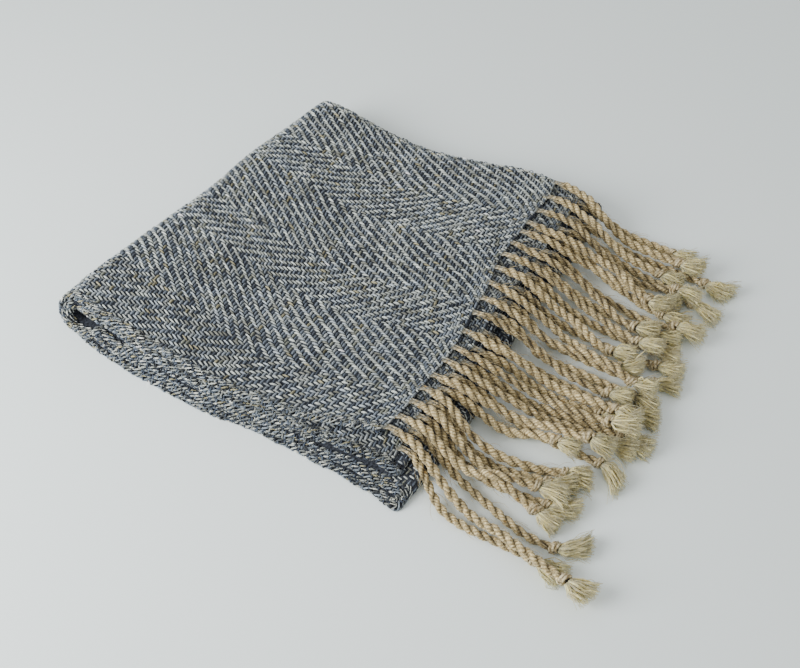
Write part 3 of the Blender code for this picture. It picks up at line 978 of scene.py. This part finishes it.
def tubes(centres, radii, sides, turned=0.0):
    """Points, faces and places of closed tubes round lines: centres are lines × rings × 3."""
    n, rings = centres.shape[:2]
    _, across, upward = line_frame(centres)
    angle = np.arange(sides) * 2 * np.pi / sides
    angle = angle + np.zeros((n, rings, 1)) + np.asarray(turned)
    radii = np.broadcast_to(radii if np.ndim(radii) == 3 else radii[..., None], angle.shape)
    out = round_line(across[:, :, None, :], upward[:, :, None, :], radii, angle)
    body = (centres[:, :, None, :] + out).reshape(n, rings * sides, 3)
    body = np.concatenate((body, centres[:, :1], centres[:, -1:]), axis=1)
    u = np.append(np.repeat(np.linspace(0, 1, rings), sides), (0, 1))
    v = np.append(np.tile(np.arange(sides) / sides, rings), (0, 0))
    uv = np.tile(np.stack((u, v), axis=-1), (n, 1))
    return body.reshape(-1, 3), *ring_faces(n, rings, sides), uv


def on_tubes(values, sides):
    """What each ring of many tubes has, for each point of them and of their two tips."""
    rings = np.repeat(values, sides, axis=1)
    return np.concatenate((rings, rings[:, :1], rings[:, -1:]), axis=1)


def edge_face(path, outward):
    """The rounded edge of a layer: back runs along the path, share over and round it."""
    steps = lengths_along(path)
    tangent = unit(np.gradient(path, steps, axis=0))
    out_way = unit(np.array((0.0, outward, 0.0)) - tangent * (tangent[:, 1:2] * outward))
    up_way = np.cross(out_way, tangent) * outward

    def face(back, share):
        around = share * (EDGE_FLAT + np.pi * EDGE_RADIUS) - EDGE_FLAT
        angle = np.clip(around / EDGE_RADIUS, 0, np.pi)[..., None]
        flat = np.clip(-around, 0, None)[..., None]
        out = read(back, steps, out_way) * (EDGE_RADIUS * np.sin(angle) - flat)
        up = read(back, steps, up_way) * EDGE_RADIUS * np.cos(angle)
        return read(back, steps, path) + out + up

    return face, steps[-1]


def layer_edges(share):
    """The paths of the three lengths of cloth at one selvedge, by their middles."""
    top_back = np.linspace(0, float(top_reach(share)) - LAST_STEP, TOP_CUTS)
    second_back = np.linspace(0, float(second_reach(share)), SECOND_CUTS)
    return {
        "top": moved_out(top_face, top_back, share, -CLOTH / 2),
        "second": moved_out(second_face, second_back, share, -SECOND_CLOTH / 2),
        "inner": inner_line(share),
    }


def weft_turns(name, path, outward):
    """The small loops where the weft turns back at a selvedge, as one joined mesh."""
    steps = lengths_along(path)
    tangent = unit(np.gradient(path, steps, axis=0))
    at = np.arange(LOOP_PITCH, steps[-1] - LOOP_PITCH, LOOP_PITCH)
    at = at + rng.normal(0, LOOP_AT_SPREAD, len(at))
    way = read(at, steps, tangent)
    out = np.array((0.0, outward, 0.0)) - way * way[:, 1:2] * outward
    up = np.cross(way, out)
    slant, reach, width, lean = rng.normal(LOOP_MEANS, LOOP_SPREADS, (len(at), 4)).T[..., None]
    outer = (out * np.cos(slant) + up * np.sin(slant))[:, None]
    angle = np.linspace(-LOOP_TURN, LOOP_TURN, LOOP_RINGS)
    off = (EDGE_RADIUS * LOOP_SINK + LOOP_REACH * reach * np.cos(angle))[..., None]
    along = (LOOP_HALF * width * np.sin(angle))[..., None]
    slope = (up * lean)[:, None] * np.sin(angle)[:, None]
    loops = read(at, steps, path)[:, None] + outer * off + way[:, None] * along + slope
    thick = LOOP_YARN * rng.normal(1, LOOP_YARN_SPREAD, (len(at), 1)) * np.ones((1, LOOP_RINGS))
    points, quads, caps, uv = tubes(loops, thick, LOOP_SIDES)
    colour = dyed(EDGE_WEFT_WOOLS, np.zeros(len(at), int), at, LOOP_DYE_LENGTH) * LOOP_TONE
    colour = np.repeat(colour, LOOP_RINGS * LOOP_SIDES + 2, axis=0)
    return new_piece(name, points, quads, caps, tweed_yarn, colour, uv * np.array(LOOP_PLACES))


# The near edges are drawn in tighter than the far ones, so their yarns lie at a slant:
# share of the way across, way out, warp ends, grain along the edge, lean and fullness
EDGES = (
    ("near", 0.0, -1.0, 7, 0.76, 0.85, 1.0),
    ("far", 1.0, 1.0, 5, 1.0, 0.3, 1.4),
)
for edge, edge_share, outward, edge_ends, grain, lean, fullness in EDGES:
    for length, path in layer_edges(edge_share).items():
        steps = lengths_along(path)
        even = np.arange(0, steps[-1], 1.0)
        path = read(even, steps, path)
        stray_at = np.arange(0, steps[-1] + 2 * EDGE_STRAY_PITCH, EDGE_STRAY_PITCH)
        wander = np.interp(even, stray_at, rng.normal(0, EDGE_STRAY, len(stray_at)))
        path[:, 1] += wander - outward * EDGE_INSET
        face, reach = edge_face(path, outward)
        # Painted shade under the top layer's near edge, growing towards the fringe
        painted_edge_shade = np.where(path[:, 2] > SHADE_FROM_Z, EDGE_SHADE, LOW_EDGE_SHADE)
        painted_edge_shade = np.ones(len(path)) if length == "top" or edge == "far" else painted_edge_shade
        shaded = lerp(1, painted_edge_shade, np.interp(path[:, 0], SHADE_X, (0, 1)))
        pieces = woven(
            f"{length}_{edge}_selvedge", face, edge_ends, pick_lines(reach / grain, 0) * grain,
            lambda back, share: (back > EDGE_ENDS_GAP) & (back < reach - EDGE_ENDS_GAP),
            (EDGE_WARP_WOOLS, EDGE_WEFT_WOOLS), lambda end, back: end / edge_ends + 0 * back,
            shade=lambda back, share: np.interp(back, even, shaded),
            widths=[width * fullness for width in EDGE_WIDTHS], lean=lean,
        )
        pieces.append(weft_turns(f"{length}_{edge}_loops", path, outward))
        for piece in pieces:
            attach(piece, "root")


# Fringe
# The warp ends left long at both ends of the cloth. Two groups of them are twisted
# tight and laid round each other, so that a strand is a cord of two plies.

STRAND = 2.8
ROOT = 1.9
KNOT = 3.5
TUFT = 4.4
ROOT_LENGTH = 9.0
KNOT_LENGTH = 8.0
STRAND_GAP = 0.8
STRIP_GAP = 0.7
STRIP_WIDTH = 2.4
FLOOR_GAP = 0.4
STEEPEST = 0.42
STEP = 2.0
MIDDLE_X = 160
ROOT_HEADING = (1.0, -0.05)
PLAN_CUTS = (40, 10)
KNOT_INDEX = 78
KNOT_SLOPE = (1.5, 1.0)
KNOT_END = 1.0
PILE_MARGIN = 3
END_MARGIN = 1
ROOT_HELD = 3
SETTLINGS = 12
STRAND_COLUMNS = ("root_y", "middle_y", "knot_x", "knot_y", "tip_x", "tip_y")
TOP_STRANDS = (
    (141, 123, 215, 117, 236, 116),
    (124, 111, 206, 104, 227, 103),
    (107, 100, 221, 92, 243, 95),
    (82, 80, 213, 80, 234, 83),
    (93, 90, 208, 72, 229, 70),
    (69, 63, 208, 48, 230, 49),
    (56, 50, 214, 36, 236, 38),
    (42, 36, 202, 22, 223, 28),
    (27, 22, 211, 10, 232, 14),
    (12, 8, 223, 2, 245, 5),
    (-2, -5, 212, -9, 233, -7),
    (-19, -22, 221, -23, 243, -25),
    (-34, -36, 222, -33, 244, -31),
    (-46, -48, 228, -43, 250, -45),
    (-60, -60, 216, -53, 237, -51),
    (-72, -88, 211, -75, 229, -68),
    (-84, -98, 207, -109, 228, -112),
    (-97, -107, 201, -94, 221, -88),
    (-107, -124, 239, -144, 259, -148),
)
SECOND_STRANDS = (
    (132, 131, 206, 129, 226, 124),
    (115, 117, 236, 112, 256, 105),
    (100, 104, 235, 90, 257, 86),
    (88, 86, 220, 71, 242, 69),
    (75, 71, 231, 63, 252, 64),
    (62, 57, 222, 52, 243, 52),
    (49, 44, 226, 40, 248, 43),
    (34, 30, 231, 28, 252, 32),
    (19, 15, 234, 14, 254, 22),
    (5, 2, 226, -3, 248, 0),
    (-11, -13, 231, -15, 252, -9),
    (-27, -28, 213, -25, 235, -25),
    (-40, -41, 232, -35, 254, -36),
    (-53, -54, 227, -59, 248, -62),
    (-66, -66, 199, -61, 219, -60),
    (-78, -92, 205, -86, 227, -81),
    (-90, -102, 211, -101, 233, -100),
    (-101, -112, 226, -123, 247, -117),
    (-114, -134, 220, -137, 240, -141),
)


def under_fringe(x, y):
    """The height of what the fringe lies on: the second layer, the two folds, the table."""
    core = core_height(LOWER_FOLD_X, y)
    inside = y > section("floor_near", END_X) - PILE_MARGIN
    inside = inside & (y < section("floor_far", END_X) + PILE_MARGIN)
    height = 0
    for end, margin, level in (
        ("lower_fold", -END_MARGIN, core * LAYERS_IN_LOWER_FOLD / LAYERS_IN_CORE),
        ("upper_fold", -END_MARGIN, core),
        ("second_end", END_MARGIN, core + SECOND_CLOTH + SEAM_GAP),
    ):
        height = np.where(inside & (x < side(end, y) + margin), level, height)
    return height


def curve(start, end, leave, arrive, t):
    """A smooth plan curve that leaves and arrives along two headings."""
    reach = np.linalg.norm(end - start)
    return hermite(start, end, unit(leave) * reach, unit(arrive) * reach, t)


def strand_path(row, end, height, below, waves):
    """Points and radii of a strand that lies on the pile, the table and earlier strands."""
    x_root = side(end, row["root_y"]) + STRIP_GAP + STRIP_WIDTH
    root = np.array((x_root, row["root_y"]))
    knot = np.array((row["knot_x"], row["knot_y"]))
    tip = np.array((row["tip_x"], row["tip_y"]))
    middle = np.array((MIDDLE_X, row["middle_y"]))
    t = np.linspace(0, 1, PLAN_CUTS[0])[:, None]
    plan = np.vstack((
        curve(root, middle, np.array(ROOT_HEADING), knot - root, t),
        curve(middle, knot, knot - root, tip - knot, t)[1:],
        knot + (tip - knot) * np.linspace(0.1, 1, PLAN_CUTS[1])[:, None],
    ))
    on_way = np.clip(np.arange(len(plan)) / KNOT_INDEX, 0, 1)
    for n, wave in enumerate(waves):
        plan[:, 1] += wave * np.sin(np.pi * (n + 1) * on_way)
    walked = lengths_along(plan)
    to_knot = walked[KNOT_INDEX]
    along = np.linspace(0, walked[-1], int(walked[-1] / STEP) + 1)
    x, y = read(along, walked, plan).T
    knot_start = to_knot - KNOT_LENGTH
    knot_ends = (knot_start, knot_start + KNOT_SLOPE[0], to_knot - KNOT_SLOPE[1])
    radius = np.interp(
        along, (0, ROOT_LENGTH, *knot_ends, to_knot + KNOT_SLOPE[1], walked[-1]),
        (ROOT, STRAND, STRAND, KNOT, KNOT, STRAND, TUFT),
    )
    rest = radius + FLOOR_GAP
    for shift in np.arange(-STRAND, STRAND + 0.1, 0.7):
        lift = np.sqrt(np.clip((radius + SEAM_GAP) ** 2 - shift**2, 0, None))
        rest = np.maximum(rest, under_fringe(x + shift, y) + lift)
    for other in below:
        across = np.hypot(x[:, None] - other["x"], y[:, None] - other["y"])
        apart = radius[:, None] + other["radius"] + STRAND_GAP
        lift = np.sqrt(np.clip(apart**2 - across**2, 0, None))
        rest = np.maximum(rest, np.where(across < apart, other["z"] + lift, 0).max(axis=1))
    rest[along < ROOT_HELD] = height
    z = rest.copy()
    for i in range(1, len(z)):
        z[i] = max(z[i], z[i - 1] - STEEPEST * STEP)
    for i in range(len(z) - 2, 0, -1):
        z[i] = max(z[i], z[i + 1] - STEEPEST * STEP)
    for _ in range(SETTLINGS):
        z[1:-1] = np.maximum(rest[1:-1], (z[:-2] + 2 * z[1:-1] + z[2:]) / 4)
    return {"x": x, "y": y, "z": z, "radius": radius, "along": along, "to_knot": to_knot}


# Each strand lies a little crooked, in one, two and three bends; the near ones less
LIE_WAVES = (1.5, 1.4, 0.8)
LIE_FROM_Y = (-85, -50)
LIE_SHARE = (0.15, 1)
LIE_MOST = 2.0
lie_rng = np.random.default_rng(23)


def fringe_paths(strands, end, height_at, below):
    paths = []
    for strand in strands:
        row = dict(zip(STRAND_COLUMNS, strand))
        height = float(height_at(side(end, row["root_y"]), row["root_y"]))
        waves = np.clip(lie_rng.normal(0, LIE_WAVES), -LIE_MOST, LIE_MOST)
        waves = waves * np.interp(row["root_y"], LIE_FROM_Y, LIE_SHARE)
        paths.append(strand_path(row, end, height, below + paths, waves))
    return paths


second_paths = fringe_paths(
    SECOND_STRANDS, "second_end", lambda x, y: second_height(x, y) - SECOND_CLOTH / 2, []
)
top_paths = fringe_paths(
    TOP_STRANDS, "top_end", lambda x, y: top_of_pile(x, y) - CLOTH / 2, second_paths
)
FRINGES = (
    ("top", TOP_STRANDS, top_paths),
    ("second", SECOND_STRANDS, second_paths),
)

TWIST_PITCH = 16.0
STRAND_FULL = (0.92, 1.15)
PLY = 0.59
PLY_SIDES = 10
PLY_RINGS = 66
FIBRE_RIDGE = 0.07
RIDGE_PITCH = 11
LUMP_PITCH = 3.6
LUMPS = 0.07
CREST_WOOL = (215, 198, 152)
# Painted shade for the grooves between the plies, browned partly by the wool and partly by light
# bounced between them
GROOVE_SHADE = (54, 43, 22)
# Painted shade: the cream warp, greyed where it leaves the weave
ROOT_SHADE_WOOL = (112, 118, 116)
ROOT_FADE = (0.5, 5.5)
CREST_FROM = 0.5
CREST_POWER = 1.2
THICKENING_PITCH = 9
THICKENING = 0.05
STRAND_TONES = 0.05
STRAND_STOP = 2
TWIST_SPREAD = 0.10
STRAND_PLACES = (66.0, 6.0)


def read_path(path, at):
    return np.stack([np.interp(at, path["along"], path[axis]) for axis in "xyz"], axis=-1)


def plied_strands(name, paths):
    """The strands of one fringe, each of two plies laid round each other."""
    ridges = 1 + FIBRE_RIDGE * np.where(np.arange(PLY_SIDES) % 2, -1, 1)
    middles, roots, centres, radii, turned, tones = [], [], [], [], [], []
    for path in paths:
        at = np.linspace(0, path["to_knot"] - STRAND_STOP, PLY_RINGS)
        middle = read_path(path, at)
        strand = np.interp(at, path["along"], path["radius"])
        strand = np.where(at > path["to_knot"] - KNOT_LENGTH, STRAND, strand)
        strand = strand * rng.uniform(*STRAND_FULL)
        thick_at = np.arange(0, at[-1] + 10, THICKENING_PITCH)
        strand = strand * np.interp(at, thick_at, rng.normal(1, THICKENING, len(thick_at)))
        _, across, upward = line_frame(middle)
        phase = rng.uniform(0, 2 * np.pi)
        pitch = TWIST_PITCH * rng.normal(1, TWIST_SPREAD)
        lump_at = np.arange(0, at[-1] + LUMP_PITCH, LUMP_PITCH)
        tone = rng.normal(1, STRAND_TONES)
        for ply in (0, 1):
            angle = 2 * np.pi * at / pitch + phase + np.pi * ply
            centres.append(middle + round_line(across, upward, strand * (1 - PLY), angle))
            lumps = np.interp(at, lump_at, rng.normal(1, LUMPS, len(lump_at)))
            radii.append((strand * PLY * lumps)[:, None] * ridges)
            turned.append((-2 * np.pi * at / RIDGE_PITCH)[:, None] + rng.uniform(0, 6))
            middles.append(middle)
            roots.append(np.interp(at, ROOT_FADE, (0, 1)))
            tones.append(tone)
    points, quads, caps, uv = tubes(np.array(centres), np.array(radii), PLY_SIDES, np.array(turned))
    axis = on_tubes(np.array(middles), PLY_SIDES).reshape(-1, 3)
    # Painted shade: the points near the strand's axis, in the grooves between the plies, are
    # darker; the crests keep the wool's cream
    from_axis = np.linalg.norm(points - axis, axis=1) / STRAND
    crest = np.clip((from_axis - CREST_FROM) / CREST_FROM, 0, 1)[:, None] ** CREST_POWER
    colour = lerp(linear(GROOVE_SHADE), linear(CREST_WOOL), crest)
    colour = colour * np.repeat(tones, len(points) // len(tones))[:, None]
    # Painted shade at the root, fading into the strand's colour
    colour = lerp(linear(ROOT_SHADE_WOOL), colour, on_tubes(np.array(roots), PLY_SIDES).reshape(-1, 1))
    return new_piece(name, points, quads, caps, fringe_yarn, colour, uv * np.array(STRAND_PLACES))


fringe_yarn = yarn_material(
    "fringe_yarn", sheen=0.2, fleck_colour=(150, 121, 70), flecks=0.34,
    twist_scale=0.30, relief=0.35, furrow=(0.66, 0.60, 0.50),
    mottle_scale=900, mottle=(0.46, 1.36),
)
for fringe, _, paths in FRINGES:
    piece = plied_strands(f"{fringe}_fringe_strands", paths)
    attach(piece, "root")
    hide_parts(f"{fringe}_fringe")


# Loose hairs
# Single fibres of the same wool, held in the twist at one end. They stand off the
# strands and cross between them, as they do on any handspun or brushed yarn.

HAIRS = 26
HAIR_RINGS = 4
HAIR_SIDES = 3
HAIR = 0.13
HAIR_LENGTH = (4.0, 11.0)
HAIR_OFF = (1.2, 4.5)
HAIR_TAPER = (1.0, 0.9, 0.75, 0.5)
HAIR_THICK_SPREAD = 0.15
HAIR_TONES = 0.12
HAIR_START = 0.9
HAIR_FROM = 3
HAIR_RISE = 0.4


def tube_piece(name, lines, radii, sides, wool, tones, places=(1, 1), material=fringe_yarn):
    """Tubes round lines as one piece, each with a tone of its own of the wool's colour."""
    points, quads, caps, uv = tubes(np.array(lines), np.array(radii), sides)
    tone = np.repeat(rng.normal(1, tones, len(lines)), len(points) // len(lines))[:, None]
    return new_piece(name, points, quads, caps, material, wool * tone, uv * np.array(places))


def loose_hairs(name, paths):
    hairs = []
    for path in paths:
        at = rng.uniform(HAIR_FROM, path["to_knot"], HAIRS)
        middle = read_path(path, at)
        heading = unit(read_path(path, at + 1) - read_path(path, at - 1))
        _, across, upward = line_frame(read_path(path, np.stack((at - 1, at, at + 1), axis=1)))
        angle = rng.uniform(0.1, np.pi - 0.1, HAIRS)
        off = round_line(across[:, 1], upward[:, 1], 1, angle)
        level = across[:, 1] * np.sign(np.cos(angle))[:, None]
        length = rng.uniform(*HAIR_LENGTH, HAIRS)[:, None]
        reach = rng.uniform(*HAIR_OFF, HAIRS)[:, None]
        for t in np.linspace(0, 1, HAIR_RINGS):
            rise = STRAND * HAIR_START + HAIR_RISE * reach * np.sin(np.pi * t)
            hairs.append(middle + off * rise + heading * length * t + level * reach * t)
    count = len(paths) * HAIRS
    hairs = np.array(hairs).reshape(len(paths), HAIR_RINGS, HAIRS, 3)
    hairs = hairs.transpose(0, 2, 1, 3).reshape(count, HAIR_RINGS, 3)
    radii = HAIR * np.array(HAIR_TAPER) * rng.normal(1, HAIR_THICK_SPREAD, (count, 1))
    return tube_piece(name, hairs, radii, HAIR_SIDES, linear(CREST_WOOL), HAIR_TONES)


for fringe, _, paths in FRINGES:
    piece = loose_hairs(f"{fringe}_fringe_hairs", paths)
    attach(piece, "root")


# Roots of the strands
# The cloth's own cream warp ends, in the shade where they leave the weave. They come
# out side by side, gather and are twisted into each strand, so nothing is sewn on.

ROOT_YARNS = 4
ROOT_YARN = 0.66
ROOT_SPREAD = 1.35
ROOT_REACH = 5.5
ROOT_RINGS = 9
ROOT_SIDES = 6
ROOT_START = (-2.2, 0.3)
ROOT_GATHER = 1.3
ROOT_TURN = 2.2
ROOT_RING = 1.2
ROOT_TONES = 0.08
ROOT_PLACES = (6.0, 3.0)
ROOT_END_WOOL = (204, 188, 148)
ROOT_END_FADE = (1, 6)


def root_yarns(name, strands, paths, end):
    centres = []
    t = np.linspace(0, 1, ROOT_RINGS)
    for strand, path in zip(strands, paths):
        inner = read_path(path, t * ROOT_REACH)
        for n in range(ROOT_YARNS):
            y = strand[0] + (n - (ROOT_YARNS - 1) / 2) * ROOT_SPREAD
            x = side(end, y) + ROOT_START[0]
            start = np.array((x, y, path["z"][0] + ROOT_START[1]))
            spin = ROOT_TURN * t + n * 2 * np.pi / ROOT_YARNS
            ring = np.stack((0 * t, ROOT_RING * np.cos(spin), ROOT_RING * np.sin(spin)), axis=-1)
            gather = (t**ROOT_GATHER)[:, None]
            centres.append(lerp(start + (inner - inner[0]), inner + ring, gather))
    radii = ROOT_YARN * rng.normal(1, ROOT_TONES, (len(centres), 1)) * np.ones((1, ROOT_RINGS))
    # Painted shade at the start of each root yarn, fading to the cream wool
    fade = np.interp(np.arange(ROOT_RINGS), ROOT_END_FADE, (0, 1))
    fade = on_tubes(np.tile(fade, (len(centres), 1)), ROOT_SIDES).reshape(-1, 1)
    wool = lerp(linear(ROOT_SHADE_WOOL), linear(ROOT_END_WOOL), fade)
    return tube_piece(name, centres, radii, ROOT_SIDES, wool, ROOT_TONES, ROOT_PLACES)


for fringe, strands, paths in FRINGES:
    piece = root_yarns(f"{fringe}_fringe_roots", strands, paths, f"{fringe}_end")
    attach(piece, "root")


# Knots
# Each strand is stopped by an overhand knot of its own two plies, pulled tight so that
# the twist can't run out. It shows as a few coils of the cream wool.

COIL = 0.92
COIL_RADIUS = 3.2
COIL_TURNS = 2.8
KNOT_SPAN = 4.4
COIL_TILT = 1.5
COIL_RINGS = 52
COIL_SIDES = 7
COIL_ROUND = 0.55
COIL_SPREADS = (0.08, 0.06, 0.05)
COIL_PLACES = (22.0, 3.0)
KNOT_WOOL = (194, 182, 148)
KNOT_TONES = 0.05


def knots(name, paths):
    centres = []
    t = np.linspace(0, 1, COIL_RINGS)
    turn_spread, reach_spread, thick_spread = COIL_SPREADS
    for path in paths:
        turns = COIL_TURNS * rng.normal(1, turn_spread)
        middle = read_path(path, path["to_knot"] - KNOT_END - KNOT_SPAN * (1 - t))
        heading, across, upward = line_frame(middle)
        spin = 2 * np.pi * turns * t + rng.uniform(0, 6.28)
        round_off = np.sqrt(1 - COIL_ROUND * (2 * t - 1) ** 2)
        reach = COIL_RADIUS * round_off * rng.normal(1, reach_spread)
        tilt = COIL_TILT * np.cos(spin + rng.uniform(-0.5, 0.5))
        coil = round_line(across, upward, reach, spin)
        centres.append(middle + coil + heading * tilt[:, None])
    radii = COIL * rng.normal(1, thick_spread, (len(centres), COIL_RINGS))
    return tube_piece(
        name, centres, radii, COIL_SIDES, linear(KNOT_WOOL), KNOT_TONES, COIL_PLACES
    )


for fringe, _, paths in FRINGES:
    piece = knots(f"{fringe}_fringe_knots", paths)
    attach(piece, "root")


# Tufts
# Past its knot a strand is untwisted: soft locks and single fibres of the cream wool,
# which the knot holds at one end. They are cut blunt, flare out and curl a little.

TUFT_COLUMNS = ("part", "count", "rings", "sides", "radius", "taper", "longest", "wave", "curl")
TUFT_PARTS = (
    ("locks", 44, 5, 4, 0.68, (1.15, 0.6), 1.0, 1.0, 1.2),
    ("fibres", 135, 4, 3, 0.24, (1.0, 0.5), 1.12, 1.6, 2.1),
)
TUFT_LENGTH = (0.62, 0.86)
TUFT_SHORTEST = 0.9
TUFT_DOME = 0.2
TUFT_THROAT = 2.1
TUFT_FLARE = (5.8, 8.4)
TUFT_FLAT = 0.74
TUFT_BEND = 3.0
TUFT_LIFT = 0.15
GOLDEN_TURN = 2.39996
GOLDEN_SPREAD = 0.25
FIBRE_SPREAD = (0.35, 0.75, 0.6)
TUFT_WOOL = (219, 206, 152)
TUFT_TONES = (0.98, 0.09)
TUFT_PLACES = (3.0, 2.0)


def tuft_line(part, n, start, ways, length, flare, bend):
    """One lock or fibre of a tuft, which flares out of the knot and curls at its end."""
    heading, across, upward = ways
    way = n * GOLDEN_TURN + rng.normal(0, GOLDEN_SPREAD)
    spread = np.sqrt((n + 0.5) / part["count"])
    if part["part"] == "fibres":
        least, more, power = FIBRE_SPREAD
        spread = least + more * rng.random() ** power
    t = np.linspace(0, 1, part["rings"])
    dome = np.sqrt(1 - TUFT_DOME * min(spread, 1.0) ** 2)
    far = length * dome * rng.uniform(TUFT_SHORTEST, part["longest"])
    open_out = spread * (TUFT_THROAT + (flare - TUFT_THROAT) * t**0.65)
    wave = rng.normal(0, part["wave"]) * np.sin(t * np.pi * rng.uniform(1, 3))
    curl = rng.normal(0, part["curl"]) * t**2
    rise = rng.normal(0, part["wave"]) * t**2
    line = (
        start + heading * (t * far)[:, None] + bend * (t**1.6)[:, None]
        + across * ((open_out + wave) * np.cos(way) + curl)[:, None]
        + upward * ((open_out * TUFT_FLAT + wave) * np.sin(way) + rise)[:, None]
    )
    radius = part["radius"] * (part["taper"][0] - part["taper"][1] * t)
    line[:, 2] = np.maximum(line[:, 2], radius + TUFT_LIFT)
    return line, radius


def tufts(name, paths):
    parts = [dict(zip(TUFT_COLUMNS, row), made=[]) for row in TUFT_PARTS]
    for path in paths:
        start, end = read_path(path, np.array((path["to_knot"] - KNOT_END, path["along"][-1])))
        heading = unit(end - start)
        across = unit(np.cross((0, 0, 1.0), heading))
        ways = heading, across, np.cross(heading, across)
        length = np.linalg.norm(end - start) * rng.uniform(*TUFT_LENGTH)
        flare = rng.uniform(*TUFT_FLARE)
        bend = across * rng.normal(0, TUFT_BEND)
        for part in parts:
            for n in range(part["count"]):
                part["made"].append(tuft_line(part, n, start, ways, length, flare, bend))
    tuft_tones = rng.normal(*TUFT_TONES, len(paths))
    pieces = []
    for part in parts:
        lines, radii = zip(*part["made"])
        points_each = part["rings"] * part["sides"] + 2
        tone = np.repeat(tuft_tones, part["count"] * points_each)[:, None]
        pieces.append(tube_piece(
            f"{name}_{part['part']}", lines, radii, part["sides"], linear(TUFT_WOOL) * tone,
            TUFT_TONES[1], TUFT_PLACES, tuft_wool,
        ))
    return pieces


tuft_wool = yarn_material(
    "tuft_wool", sheen=0.3, fleck_colour=(198, 184, 128), flecks=0.28,
    twist_scale=0.3, relief=0.3, furrow=(0.94, 0.92, 0.86),
    mottle_scale=700, mottle=(0.80, 1.08), roughness=0.95,
)
feed(tuft_wool.node_tree.nodes["Principled BSDF"], {
    "Subsurface Weight": 0.5, "Subsurface Radius": (1.0, 0.8, 0.5),
    "Subsurface Scale": 2.5 * MM,
})
for fringe, _, paths in FRINGES:
    for piece in tufts(f"{fringe}_fringe_tuft", paths):
        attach(piece, "root")
